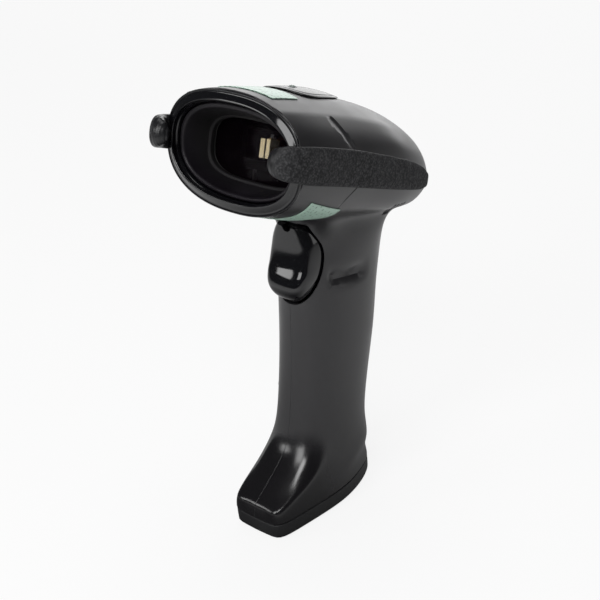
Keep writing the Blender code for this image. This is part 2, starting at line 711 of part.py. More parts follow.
def skin_point(skin, x, d, side, lift):
    """A head-frame point at a height over the skin, above (side 1) or below the head."""
    start = head_to_world(x, d, side * 60.0) * MM
    along = (head_to_world(x, d, 0) * MM - start).normalized()
    hit, normal = skin.ray_cast(start, along)[:2]
    local = HEAD.matrix_world.inverted() @ (hit + normal * lift * MM)
    return local / MM


def make_cover(skin):
    """The raised shield-shaped cover: rings that shrink towards the middle, below and above."""
    first, last, front_half, rear_half = COVER
    lower = [(share, GAP + 0.1) for share in (0.15, 0.5, 0.8, 1.0)]
    upper = [(1.0, 0.8), (0.95, 1.15), (0.8, 1.35), (0.5, 1.5), (0.15, 1.55)]
    rings = []
    for share, lift in lower + upper:
        ring = []
        for i in range(24):
            across, along = superellipse(2 * pi * i / 24, 3.0)
            d = (first + last) / 2 - along * share * (last - first) / 2
            half = front_half + (rear_half - front_half) * (d - first) / (last - first)
            ring.append(skin_point(skin, across * share * half, d, 1, lift))
        rings.append(ring)
    return loft("top_cover", rings, GLOSS, HEAD)


def make_label(name, skin, shape, side, stations=18):
    """A thin label wrapped over the head from side to side."""
    first, last, first_half, last_half = shape
    rings = []
    for i in range(stations + 1):
        share = sin(pi / 2 * (2 * i / stations - 1))
        row = [(share * (first_half + (last_half - first_half) * k / 3), first + (last - first) * k / 3)
               for k in range(4)]
        low, high = GAP + 0.1, GAP + 0.1 + LABEL_THICKNESS
        rings.append([skin_point(skin, x, d, side, low) for x, d in row]
                     + [skin_point(skin, x, d, side, high) for x, d in reversed(row)])
    return loft(name, rings, LABEL, HEAD)


def make_top_pieces(skin):
    """The cover with its indicator lens, led and led board, and the two labels."""
    cover = make_cover(skin)
    height = skin_point(skin, 0.5, LENS_D, 1, 0.0).z
    hole = cylinder("lens_hole", (0, LENS_D, height), LENS_RADIUS + GAP, 12, "Z", frame=HEAD, sides=16)
    combine(cover, hole, "DIFFERENCE")
    cylinder("indicator_lens", (0, LENS_D, height - 0.9), LENS_RADIUS, 5.6, "Z", LENS, HEAD, sides=16)
    box("indicator_led", (0, LENS_D, height - 4.8), (2.4, 2.4, 1.6), WHITE, HEAD)
    box("indicator_board", (0, LENS_D, height - 6.5), (12.0, 9.0, 1.0), CIRCUIT, HEAD)
    make_label("top_label", skin, TOP_LABEL, 1, 10)
    make_label("underside_label", skin, UNDERSIDE_LABEL, -1)


# ---------------------------------------------------------------- scan engine, in the head's frame

ENGINE = (28.0, 26.0, 15.0)   # width, length in d, height
ENGINE_FRONT = 27.0
MIRROR = (-3.0, 31.0, -2.0)   # where the scan mirror's pin stands
MIRROR_SIZE = (7.0, 0.8, 7.0)
MIRROR_TURN = radians(28.0)   # the way the mirror faces at rest


def make_engine():
    """The laser scan engine: an open tray with the laser, the moving mirror and the collector."""
    width, length, height = ENGINE
    middle_d, middle_h = ENGINE_FRONT + length / 2, ENGINE_FLOOR + height / 2
    chassis = box("engine_chassis", (0, middle_d, middle_h), ENGINE, ALLOY, HEAD)
    x, d = ENGINE_SCREWS
    ears = box("engine_ears", (0, d, ENGINE_FLOOR + 0.8), (2 * x + 6.0, 7.0, 1.6), None, HEAD)
    combine(chassis, ears, "UNION")
    inside = box("engine_inside", (0, middle_d, middle_h + 1.6), (width - 3.0, length - 3.0, height),
                 None, HEAD)
    combine(chassis, inside, "DIFFERENCE")
    mouth = box("engine_mouth", (0, ENGINE_FRONT, middle_h + 1.0), (width - 5.0, 6.0, height - 4.4),
                None, HEAD)
    combine(chassis, mouth, "DIFFERENCE")
    for side, word in ((-1, "left"), (1, "right")):
        hole = cylinder("ear_hole_" + word, (side * x, d, ENGINE_FLOOR), SCREW_RADIUS + GAP, 10, "Z",
                        frame=HEAD)
        combine(chassis, hole, "DIFFERENCE")
        make_screw("engine_screw_" + word, (side * x, d, ENGINE_FLOOR + 1.6 + GAP), "Z", -1, HEAD, 9.0)

    pin_x, pin_d, pin_h = MIRROR
    cylinder("mirror_pin", (pin_x, pin_d, pin_h + 0.1), 0.5, 11.2, "Z", STEEL, HEAD, sides=12)
    pivot = bpy.data.objects.new("mirror_pivot", None)
    pivot.parent = HEAD
    pivot.location = Vector(MIRROR) * MM
    pivot.rotation_euler = (0, 0, MIRROR_TURN)
    bpy.context.scene.collection.objects.link(pivot)
    bpy.context.view_layer.update()
    carrier = cylinder("mirror_carrier", (0, 0, 0), 1.6, 7.6, "Z", BRASS, pivot, sides=16)
    arm = box("carrier_arm", (0, -1.3, 0), (6.0, 0.9, 6.0), None, pivot)
    combine(carrier, arm, "UNION")
    tail = box("carrier_tail", (0, 3.4, 0), (1.2, 5.4, 2.4), None, pivot)
    combine(carrier, tail, "UNION")
    bore = cylinder("carrier_bore", (0, 0, 0), 0.5 + GAP, 20, "Z", None, pivot, sides=12)
    combine(carrier, bore, "DIFFERENCE")
    box("scan_mirror", (0, -1.75 - GAP - MIRROR_SIZE[1] / 2, 0), MIRROR_SIZE, BRASS, pivot, 0.1)
    box("mirror_magnet", (0, 6.1 + GAP + 1.0, 0), (3.2, 2.0, 3.2), STEEL, pivot, 0.2)
    coil_d = pin_d + 12.6
    profile = [(2.2, -1.2), (4.0, -1.2), (4.0, 1.2), (2.2, 1.2)]
    rings = [[(pin_x - 4.0 + r * cos(2 * pi * i / 24), coil_d + along, pin_h + r * sin(2 * pi * i / 24))
              for r, along in profile] for i in range(24)]
    loft("drive_coil", rings, COPPER, HEAD, looped=True)
    cylinder("laser_module", (8.0, 34.0, -2.6), 2.6, 7.6, "X", BRASS, HEAD)
    cylinder("laser_lens", (3.2, 34.0, -2.6), 1.6, 1.0, "X", LENS, HEAD, sides=16)
    collector = []
    for along in (0.0, 1.0):
        ring = []
        for i in range(20):
            x, h = superellipse(2 * pi * i / 20, 4.0)
            bow = 0.02 * (x * 7.5) ** 2
            ring.append((4.6 + x * 7.5, 46.8 + along - bow, -1.6 + h * 5.2))
        collector.append(ring)
    loft("collector_mirror", collector, STEEL, HEAD)
    back = ENGINE_FRONT + length + GAP
    box("engine_board", (0, back + 0.6, middle_h), (width, 1.2, height), CIRCUIT, HEAD)
    box("signal_chip", (-6.0, back + 1.2 + GAP + 0.6, middle_h), (7.0, 1.2, 7.0), CHIP, HEAD)
    box("engine_connector", (5.0, back + 1.2 + GAP + 0.9, -4.0), (11.0, 1.8, 3.0), WHITE, HEAD)
    box("photodiode", (4.6, 39.5, -7.6), (3.4, 3.4, 1.4), CHIP, HEAD)


# ---------------------------------------------------------------- handle electronics

def make_screw(name, seat, axis, direction, frame, length):
    """A pan head screw; seat is the middle of its head's underside, direction the way it goes in."""
    step = {"X": Vector((1, 0, 0)), "Y": Vector((0, 1, 0)), "Z": Vector((0, 0, 1))}[axis] * direction
    seat = Vector(seat)
    screw = cylinder(name, seat + step * (length / 2 - 0.2), 0.85, length + 0.4, axis, STEEL, frame,
                     sides=12)
    head = cylinder(name + "_head", seat - step * 0.9, SCREW_HEAD_RADIUS - 0.4, 1.8, axis, None, frame,
                    sides=16)
    combine(screw, head, "UNION")
    for turn in ((2.6, 0.6), (0.6, 2.6)):
        size = {"X": (1.6, *turn), "Y": (turn[0], 1.6, turn[1]), "Z": (*turn, 1.6)}[axis]
        combine(screw, box(name + "_slot", seat - step * 1.9, size, None, frame), "DIFFERENCE")
    return screw


COIL_STEPS = 8                # points in one turn of the spring


def coil_spring(name, start, end, radius, wire, turns, material):
    """A compression spring along y: a wire wound by a loop, ends closed by its caps."""
    curve = bpy.data.curves.new(name, "CURVE")
    curve.dimensions = "3D"
    curve.bevel_depth = wire * MM
    curve.bevel_resolution = 2
    curve.use_fill_caps = True
    spline = curve.splines.new("POLY")
    steps = COIL_STEPS * turns
    spline.points.add(steps)
    for i in range(steps + 1):
        angle = 2 * pi * i / COIL_STEPS
        y = start[0] + (end - start[0]) * i / steps
        point = (radius * cos(angle), y, start[1] + radius * sin(angle))
        spline.points[i].co = (*(Vector(point) * MM), 1.0)
    obj = bpy.data.objects.new(name, curve)
    PARTS.objects.link(obj)
    curve.materials.append(material)
    return obj


def make_board():
    """The main board with its chips, beeper, connectors and the trigger's switch."""
    half_x, half_y, half_z = BOARD_HALF
    board = box("main_board", (0, 0, 0), (2 * half_x, 2 * half_y, 2 * half_z), CIRCUIT, BOARD)
    front, rear = -half_y - GAP, half_y + GAP
    x, height = BOARD_SCREWS
    for side, word in ((-1, "left"), (1, "right")):
        hole = cylinder("board_hole_" + word, (side * x, 0, height), SCREW_RADIUS, 10, "Y", frame=BOARD,
                        sides=16)
        combine(board, hole, "DIFFERENCE")
        make_screw("board_screw_" + word, (side * x, front, height), "Y", 1, BOARD, 7.0)
    box("decoder_chip", (0, front - 0.7, -2.0), (10.0, 1.4, 10.0), CHIP, BOARD, 0.15)
    box("memory_chip", (0.5, front - 0.5, -15.0), (6.0, 1.0, 4.5), CHIP, BOARD, 0.1)
    cylinder("beeper", (0, rear + 1.9, 4.0), 4.6, 3.8, "Y", CHIP, BOARD, sides=24)
    box("flex_connector", (0, rear + 0.9, half_z - 3.0), (11.0, 1.8, 3.4), WHITE, BOARD)
    box("cable_connector", (0, rear + 1.6, -half_z + 4.0), (9.0, 3.2, 5.0), WHITE, BOARD)

    switch_z = (NOSE_Z - BOARD_Z) / cos(BOARD_LEAN) - 1.3
    body = box("switch_body", (0, front - 2.1, switch_z), (6.2, 4.2, 6.2), CHIP, BOARD, 0.2)
    combine(body, box("switch_well", (0, front - 4.2, switch_z), (2.4, 7.4, 2.4), None, BOARD),
            "DIFFERENCE")
    box("switch_plunger", (0, front - 4.4, switch_z), (1.8, 3.4, 1.8), WHITE, BOARD)


def make_ribbon():
    """The flat flex from the scan engine down to the main board, in the world frame."""
    top = head_to_world(0, 57.6, -6.0)
    bottom = (BOARD_Y + 41.5 * sin(BOARD_LEAN) + 3.6, BOARD_Z + 41.5 * cos(BOARD_LEAN))
    rings = []
    steps = 8
    for i in range(steps + 1):
        share = i / steps
        sway = 1.6 * sin(pi * share)
        y = top.y + (bottom[0] - top.y) * share + sway
        z = top.z + (bottom[1] - top.z) * share
        rings.append([(-4.5, y, z), (4.5, y, z), (4.5, y + 0.4, z), (-4.5, y + 0.4, z)])
    loft("ribbon_cable", rings, WHITE)


def make_fasteners(skin):
    for number, (y, z) in enumerate(HOUSING_SCREWS, 1):
        seat = skin_half_width(skin, y, z) - SINK_DEPTH + GAP
        name = "housing_screw_{}".format(number)
        make_screw(name, (-seat, y, z), "X", 1, None, seat + 7.0)
    x, y = CAP_SCREWS
    for side, word in ((-1, "left"), (1, "right")):
        make_screw("cap_screw_" + word, (side * x, y, 2.6 - GAP), "Z", 1, None, 10.0)


def main():
    skin = make_housing()
    make_bezel()
    make_liner()
    make_window()
    make_bumpers()
    make_trigger()
    spring_end = BOARD_Y + (93.0 - BOARD_Z) * tan(BOARD_LEAN) - 2.2
    coil_spring("trigger_spring", (TRIGGER_BACK + 0.8, 93.0), spring_end, 2.0, 0.35, 5, STEEL)
    make_base_cap()
    make_socket()
    make_top_pieces(skin)
    make_engine()
    make_board()
    make_ribbon()
    make_fasteners(skin)


main()
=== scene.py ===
"""The looks of a handheld barcode scanner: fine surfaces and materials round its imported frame.

The frame is in metres: +Z up from the base, the mouth faces -Y, symmetric about X = 0.
Sizes below are in millimetres. Head pieces are given in the head's own frame: x across,
d rearward and h along the head's normal.
"""

from math import atan2, cos, exp, pi, radians, sin, tan

import bmesh
import bpy
from mathutils import Matrix, Vector
from mathutils.bvhtree import BVHTree
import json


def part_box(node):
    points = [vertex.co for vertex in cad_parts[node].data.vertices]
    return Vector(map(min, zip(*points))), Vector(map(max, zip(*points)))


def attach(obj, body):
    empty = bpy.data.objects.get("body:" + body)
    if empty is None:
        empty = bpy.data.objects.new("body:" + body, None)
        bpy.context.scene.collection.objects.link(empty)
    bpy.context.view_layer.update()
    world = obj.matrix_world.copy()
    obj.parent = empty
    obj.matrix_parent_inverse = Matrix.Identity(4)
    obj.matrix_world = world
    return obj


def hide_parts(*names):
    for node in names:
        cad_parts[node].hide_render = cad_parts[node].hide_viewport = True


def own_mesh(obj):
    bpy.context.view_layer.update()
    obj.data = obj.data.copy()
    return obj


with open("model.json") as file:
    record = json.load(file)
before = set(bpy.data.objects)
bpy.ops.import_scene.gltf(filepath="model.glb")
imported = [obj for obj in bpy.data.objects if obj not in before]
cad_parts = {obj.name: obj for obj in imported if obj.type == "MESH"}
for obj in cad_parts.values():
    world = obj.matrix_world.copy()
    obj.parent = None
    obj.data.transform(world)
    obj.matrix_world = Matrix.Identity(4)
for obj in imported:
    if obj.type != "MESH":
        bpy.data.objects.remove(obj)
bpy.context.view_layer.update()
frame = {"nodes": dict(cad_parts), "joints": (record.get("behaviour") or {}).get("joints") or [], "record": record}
NODES = frame["nodes"]
JOINTS = {joint["name"]: joint for joint in frame["joints"]}
MM = 0.001

# The mirror's hinge gives the head's tilt and place
MIRROR_PLACE = Vector((-3.0, 31.0, -2.0))
MIRROR_AXIS = JOINTS["mirror_hinge"]["axis"]
HEAD_TILT = atan2(MIRROR_AXIS[1], MIRROR_AXIS[2])
HEAD = (Matrix.Translation(Vector(JOINTS["mirror_hinge"]["pos_m"]))
        @ Matrix.Rotation(-HEAD_TILT, 4, "X") @ Matrix.Translation(-MIRROR_PLACE * MM))
HEAD_UP_TURN = (HEAD.to_3x3() @ Vector((0, 0, 1))).to_track_quat("Z", "Y").to_matrix().to_4x4()
RIM_SLANT = tan(radians(7.6))  # the mouth's top edge stands forward of its bottom edge

# Mouth rim
RIM_D = 5.8
RIM_HALF_WIDTH = 32.7
RIM_MID_H = -3.1
RIM_TOP = 22.1
RIM_BOTTOM = 20.5
RIM_POWERS = (2.48, 2.32)  # above and below the middle
RIM_STEPS = 160
PARTING_DEPTH = 2.1  # where the housing's front edge lies, behind the bezel's face

# Housing
WALL = 2.0
SEAM = 0.05  # half the gap between the two halves
CAP_SEAM_Z = 7.0  # lowest edge of the housing
SUBDIVISION = 3
HEAD_POINTS = 18  # points round a head section
HANDLE_POINTS = 16  # points round a handle or base section
HEAD_ANGLES = (104.0, 128.0, 150.0, 167.5, 180.0)

# Head stations: d, slant share, top, crease x, crease h, half width, side h, bottom
HEAD_STATIONS = (
    (5.0, 1.00, 19.2, 22.6, 15.2, 32.6, -3.1, -23.2),
    (16.0, 0.80, 19.7, 22.5, 14.9, 32.9, -3.2, -24.4),
    (29.0, 0.30, 19.6, 22.0, 14.1, 32.6, -3.8, -25.8),
    (42.0, 0.00, 18.9, 21.6, 13.0, 31.8, -5.0, -26.6),
    (53.0, 0.00, 17.5, 21.2, 11.9, 30.8, -6.0, -27.0),
    (64.0, 0.00, 15.7, 20.6, 10.2, 29.8, -7.0, -27.1),
    (75.0, 0.00, 13.1, 19.3, 7.4, 28.3, -8.0, -27.0),
    (86.0, 0.00, 9.3, 17.2, 3.9, 25.6, -9.3, -26.0),
    (94.0, 0.00, 4.9, 14.4, 0.4, 22.0, -10.6, -23.6),
    (98.6, 0.00, -0.8, 10.0, -3.4, 15.8, -11.2, -20.3),
)
HEAD_END = 100.6
HOLE_FIRST, HOLE_LAST = 3, 7  # stations that bound the handle's opening in the underside

# Handle rings: front y and z, back y and z, half width, power of the superellipse
HANDLE_RINGS = (
    (4.9, 114.5, 49.4, 102.0, 15.9, 2.3),
    (2.9, 102.5, 46.9, 92.5, 15.1, 2.3),
    (0.7, 86.5, 43.5, 80.5, 15.0, 2.3),
    (-1.3, 68.5, 40.0, 65.5, 15.0, 2.3),
    (-4.2, 50.0, 35.0, 50.0, 15.0, 2.3),
    (-7.6, 35.0, 30.8, 35.0, 15.0, 2.35),
    (-12.2, 26.0, 29.2, 26.0, 15.1, 2.7),
    (-21.5, 18.5, 28.9, 18.5, 15.3, 3.0),
)
BASE_OUTLINE = (
    (0.0, -32.0), (6.4, -31.8), (11.8, -29.6), (14.2, -19.0), (15.9, -4.0),
    (15.6, 9.0), (12.2, 21.4), (6.8, 28.8), (0.0, 31.2),
)
TOE_EDGE_Z = 12.2
TOE_SETBACK = 1.3
TOE_REACH = 32.0
TOE_DRAW_IN = 0.3
TOE_CREASE = 0.36  # sharpness of the edges beside the toe's sloped face
TOE_FRONT_CREASE = 0.85

# Bumper stations: x, d, half thickness, top, bottom
BUMPER_STATIONS = (
    (25.3, 0.5, 1.3, 2.3, -2.6),
    (26.2, 0.2, 2.4, 3.7, -3.9),
    (27.8, 0.0, 3.1, 4.8, -4.9),
    (29.6, 0.3, 3.1, 5.4, -5.5),
    (31.4, 1.7, 2.7, 5.8, -6.0),
    (32.7, 4.8, 2.0, 5.8, -6.4),
    (33.1, 9.0, 1.7, 5.7, -6.9),
    (33.2, 16.0, 1.7, 5.4, -7.6),
    (32.9, 34.0, 1.8, 3.9, -9.1),
    (31.3, 55.0, 1.9, 0.9, -11.2),
    (29.6, 70.0, 1.9, -1.7, -12.6),
    (28.0, 80.0, 2.0, -4.5, -13.3),
    (27.1, 84.9, 1.6, -7.0, -12.9),
)

# Trigger and its opening; the finger face is given by z and y
SLOT_MIDDLE_Z = 104.0
SLOT_HALF_WIDTH = 11.3
SLOT_HALF_HEIGHT = 17.4
SLOT_POWER = 2.25
SLOT_TOP_Z = 118.4
TRIGGER_FACE = (
    (117.8, 3.0), (113.0, 2.4), (108.0, 1.6), (103.0, 0.0), (99.0, -2.0), (95.5, -3.2),
    (92.6, -3.0), (90.0, -1.6), (88.4, 0.6),
)
TRIGGER_BACK = 11.4
TRIGGER_SIDE_GAP = 0.8

# Pieces on the head's skin: first d, last d, then half widths at those ends
COVER = (28.0, 57.0, 13.2, 6.6)
TOP_LABEL = (11.0, 24.0, 13.0, 13.0)
UNDERSIDE_LABEL = (18.4, 37.4, 29.3, 26.7)
LENS_D = 35.0

# Housing screws go in from the left: y, z
HOUSING_SCREWS = ((6.2, 45.0), (34.5, 91.0), (50.0, 128.5))
SINK_DEPTH = 3.0
SINK_RADIUS = 2.6
CUP_RADIUS = 3.6
BORE_RADIUS = 1.5
POCKET_GAP = 0.2  # room left round a bumper in the pieces it lies in


def head(x, d, h):
    """World position, in metres, of a head-frame point in millimetres."""
    return HEAD @ (Vector((x, d, h)) * MM)


# ---- shape helpers

def turns(count):
    """Angles evenly round a full turn."""
    return [2 * pi * i / count for i in range(count)]


def superellipse(angle, power):
    """Unit superellipse point: angle 0 is up, and a quarter turn is +x."""
    def stretch(value):
        return (1 if value >= 0 else -1) * abs(value) ** (2.0 / power)
    return stretch(sin(angle)), stretch(cos(angle))


def smooth_through(points, steps):
    """Samples a Catmull-Rom curve through the points, with any number of values in each."""
    result = []
    for i in range(len(points) - 1):
        before, start, end, after = (points[min(max(k, 0), len(points) - 1)]
                                     for k in (i - 1, i, i + 1, i + 2))
        for step in range(steps):
            t = step / steps
            weights = (-0.5 * t + t * t - 0.5 * t ** 3, 1 - 2.5 * t * t + 1.5 * t ** 3,
                       0.5 * t + 2 * t * t - 1.5 * t ** 3, -0.5 * t * t + 0.5 * t ** 3)
            result.append(tuple(sum(w * p[k] for w, p in zip(weights, (before, start, end, after)))
                                for k in range(len(start))))
    return result + [tuple(points[-1])]


def mesh_from(bm, name):
    bmesh.ops.recalc_face_normals(bm, faces=bm.faces)
    mesh = bpy.data.meshes.new(name)
    bm.to_mesh(mesh)
    bm.free()
    return mesh


def loft(name, rings, looped=False):
    """A closed skin over rings of points in metres."""
    bm = bmesh.new()
    rows = [[bm.verts.new(point) for point in ring] for ring in rings]
    count = len(rows[0])
    pairs = list(zip(rows, rows[1:] + rows[:1])) if looped else list(zip(rows, rows[1:]))
    for first, second in pairs:
        for i in range(count):
            j = (i + 1) % count
            bm.faces.new((first[i], first[j], second[j], second[i]))
    if not looped:
        bm.faces.new(rows[0][::-1])
        bm.faces.new(rows[-1])
    return mesh_from(bm, name)


def cylinder(name, centre, radius, length, turn=Matrix.Identity(4), sides=48):
    """A closed round bar along z, turned by a matrix, in metres."""
    bm = bmesh.new()
    bmesh.ops.create_cone(bm, cap_ends=True, segments=sides, radius1=radius, radius2=radius,
                          depth=length)
    bmesh.ops.transform(bm, matrix=Matrix.Translation(centre) @ turn, verts=bm.verts)
    return mesh_from(bm, name)


def block(name, low, high):
    """A closed box between two corners, in metres."""
    bm = bmesh.new()
    bmesh.ops.create_cube(bm, size=1.0)
    low, high = Vector(low), Vector(high)
    bmesh.ops.scale(bm, vec=high - low, verts=bm.verts)
    bmesh.ops.translate(bm, vec=(low + high) / 2, verts=bm.verts)
    return mesh_from(bm, name)


def add_object(name, data):
    obj = bpy.data.objects.new(name, data)
    bpy.context.scene.collection.objects.link(obj)
    return obj


def apply_modifiers(obj):
    bpy.context.view_layer.update()
    graph = bpy.context.evaluated_depsgraph_get()
    mesh = bpy.data.meshes.new_from_object(obj.evaluated_get(graph))
    obj.modifiers.clear()
    obj.data = mesh


def combine(mesh, *others, operation="DIFFERENCE"):
    """The mesh cut by, joined to or limited to other closed meshes, one after another."""
    for other in others:
        objects = [add_object("combine", item) for item in (mesh, other)]
        modifier = objects[0].modifiers.new("combine", "BOOLEAN")
        modifier.operation = operation
        modifier.solver = "MANIFOLD"
        modifier.object = objects[1]
        apply_modifiers(objects[0])
        mesh = objects[0].data
        for obj in objects:
            bpy.data.objects.remove(obj)
    return mesh


def piece(name, mesh, look, node, slot=None, body="housing", smooth=32.0):
    """Shows a mesh as a piece that rides on a body and stands for a CAD node."""
    obj = add_object(name, mesh)
    mesh.materials.clear()
    mesh.materials.append(MATERIALS[look])
    mesh.shade_smooth()
    mesh.set_sharp_from_angle(angle=radians(smooth))
    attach(obj, body)
    slot or look
    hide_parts(node)
    return obj


def loft_piece(name, rings, look, node, looped=False, **how):
    return piece(name, loft(name, rings, looped), look, node, **how)


# ---- materials

MATERIALS = {}


class Shader:
    """A node material under construction; add() makes a node and joins its inputs."""

    def __init__(self, name):
        self.material = MATERIALS[name] = bpy.data.materials.new(name)
        self.material.use_nodes = True
        self.tree = self.material.node_tree
        self.surface = self.tree.nodes["Principled BSDF"]
        self.place = self.add("TexCoord").outputs["Object"]

    def add(self, kind, inputs=None, **settings):
        node = self.tree.nodes.new("ShaderNode" + kind)
        for key, value in settings.items():
            setattr(node, key, value)
        for key, value in (inputs or {}).items():
            self.put(node.inputs[key], value)
        return node

    def put(self, socket, value):
        if isinstance(value, bpy.types.NodeSocket):
            self.tree.links.new(value, socket)
        else:
            socket.default_value = value

    def set(self, **values):
        """Sets or joins the surface's own sockets, named with underscores."""
        for key, value in values.items():
            self.put(self.surface.inputs[key.replace("_", " ")], value)

    def axis(self, letter, vector=None):
        """One part of a vector: of the place if none is given."""
        return self.add("SeparateXYZ", {"Vector": vector or self.place}).outputs[letter]

    def normal(self):
        return self.add("NewGeometry").outputs["Normal"]

    def dot(self, first, second):
        return self.add("VectorMath", {0: first, 1: second}, operation="DOT_PRODUCT").outputs["Value"]

    def noise(self, scale, detail=3.0, rough=0.55, vector=None):
        node = self.add("TexNoise", {"Vector": vector or self.place, "Scale": scale,
                                     "Detail": detail, "Roughness": rough})
        return node.outputs["Fac"]

    def spread(self, value, low, high, start=0.3, end=0.7):
        """Maps a value from start..end to low..high."""
        node = self.add("MapRange", {"Value": value, "From Min": start, "From Max": end,
                                     "To Min": low, "To Max": high})
        return node.outputs["Result"]

    def blend(self, share, first, second):
        """A colour mixed from two."""
        node = self.add("Mix", data_type="RGBA")
        self.put(node.inputs[0], share)
        self.put(node.inputs[6], first)
        self.put(node.inputs[7], second)
        return node.outputs[2]

    def mix(self, share, first, second):
        """A number mixed from two."""
        return self.add("Mix", {"Factor": share, 2: first, 3: second}).outputs[0]

    def math(self, operation, first, second=0.0):
        return self.add("Math", {0: first, 1: second}, operation=operation).outputs[0]

    def times(self, first, second):
        return self.math("MULTIPLY", first, second)

    def stretched(self, *scale):
        """The place with each axis stretched."""
        return self.add("Mapping", {"Vector": self.place, "Scale": scale}).outputs["Vector"]

    def edge_normal(self, radius):
        """A normal that rounds the edges by a radius in metres."""
        return self.add("Bevel", {"Radius": radius}, samples=6).outputs["Normal"]

    def bump(self, height, depth, normal=None, strength=1.0):
        inputs = {"Height": height, "Distance": depth, "Strength": strength}
        if normal:
            inputs["Normal"] = normal
        return self.add("Bump", inputs).outputs["Normal"]


def rgb(red, green, blue):
    return (red, green, blue, 1.0)


# Where the looks change, as ranges in metres
TOE_GLOSS_SHADE_Z = (0.026, 0.036)
TOE_GLOSS_SHADE_Y = (-0.009, 0.004)
HEAD_LOW_Z = (0.120, 0.126)
FUNNEL_SHADE_Y = (-0.022, -0.008)
HEAD_CORE = (0, 45.0, -5.0)  # head-frame point that the head's inner faces look towards
EDGE_ROUNDING = 0.00025


def worn_plastic(name, dark, light, rough, grain_scale, grain_depth, glossy_toe_and_shade=False):
    """Moulded plastic: mottled gloss, a fine mould grain, rubbed edges, inner faces of the head made matt and
    darkened with painted shade, and, where asked, a glossy toe darkened with painted shade.
    """
    s = Shader(name)
    mottle = s.noise(55.0, 4.0)
    smear = s.noise(14.0, 2.0)
    roughness = s.math("ADD", s.spread(mottle, rough[0], rough[1]), s.spread(smear, -0.02, 0.03))
    if glossy_toe_and_shade:
        toe = s.spread(s.axis("Z"), 1.0, 0.0, *TOE_GLOSS_SHADE_Z)
        ahead = s.spread(s.axis("Y"), 1.0, 0.0, *TOE_GLOSS_SHADE_Y)
        share = s.times(toe, ahead)
        roughness = s.mix(share, roughness, s.spread(mottle, 0.17, 0.23))
    # Painted shade: faces inside the head that look towards its core are painted near black, as well as made matt.
    away = s.add("VectorMath", {0: s.place, 1: head(*HEAD_CORE)}, operation="SUBTRACT").outputs[0]
    away = s.add("VectorMath", {0: away}, operation="NORMALIZE").outputs[0]
    high = s.spread(s.axis("Z"), 0.0, 1.0, *HEAD_LOW_Z)
    inner = s.times(s.spread(s.dot(away, s.normal()), 1.0, 0.0, -0.45, -0.15), high)
    roughness = s.mix(inner, roughness, 0.9)
    rounded = s.edge_normal(EDGE_ROUNDING)
    grain = s.noise(grain_scale, 2.0)
    colour = s.blend(s.spread(mottle, 0.0, 1.0), rgb(*dark), rgb(*light))
    colour = s.blend(inner, colour, rgb(0.004, 0.004, 0.004))
    # Painted shade: the toe's front is painted near black, besides being made glossy.
    if glossy_toe_and_shade:
        colour = s.blend(share, colour, rgb(0.006, 0.0055, 0.0065))
    rub = s.spread(s.dot(rounded, s.normal()), 0.5, 0.0, 0.80, 0.985)
    rub = s.times(rub, s.spread(smear, 0.0, 1.0, 0.4, 0.6))
    colour = s.blend(rub, colour, rgb(*(0.05 + 1.6 * part for part in light)))
    s.set(Base_Color=colour, Roughness=roughness, Normal=s.bump(grain, grain_depth, rounded), IOR=1.5)


def gloss_plastic():
    """Polished black plastic with hair-fine scratches and a little dust."""
    s = Shader("gloss_black")
    stretched = s.add("Mapping", {"Vector": s.place, "Scale": (900.0, 900.0, 60.0),
                                  "Rotation": (0.4, 0.3, 0.0)}).outputs["Vector"]
    scratches = s.noise(1.0, 3.0, 0.6, stretched)
    dust = s.spread(s.noise(1900.0, 1.0), 0.0, 1.0, 0.73, 0.78)
    smear = s.noise(30.0, 3.0)
    rounded = s.edge_normal(0.0003)
    s.set(Base_Color=s.blend(dust, rgb(0.003, 0.003, 0.004), rgb(0.04, 0.04, 0.04)),
          Roughness=s.math("ADD", s.spread(smear, 0.06, 0.12), s.times(dust, 0.4)),
          Normal=s.bump(scratches, 0.0000012, rounded))
    s.set(IOR=1.46, Coat_Weight=0.15, Coat_Roughness=0.04)


def liner_plastic():
    """The funnel's matt dark plastic, with faint vertical mould lines; deeper in, towards the window, it is
    rougher and carries painted shade.
    """
    s = Shader("liner_black")
    lines = s.add("TexWave", {"Vector": s.place, "Scale": 240.0, "Distortion": 0.4},
                  bands_direction="X").outputs["Fac"]
    mottle = s.noise(90.0, 3.0)
    # Painted shade: the colour darkens deeper into the funnel.
    funnel_shade = s.spread(s.axis("Y"), 0.0, 1.0, *FUNNEL_SHADE_Y)
    tone = s.blend(s.spread(mottle, 0.0, 1.0), rgb(0.005, 0.0035, 0.006), rgb(0.009, 0.007, 0.011))
    s.set(Base_Color=s.blend(funnel_shade, tone, rgb(0.002, 0.0015, 0.002)),
          Roughness=s.math("ADD", s.spread(mottle, 0.36, 0.46), s.times(funnel_shade, 0.35)),
          Normal=s.bump(lines, 0.000012, s.edge_normal(0.0002)))
    s.set(Specular_IOR_Level=0.35)


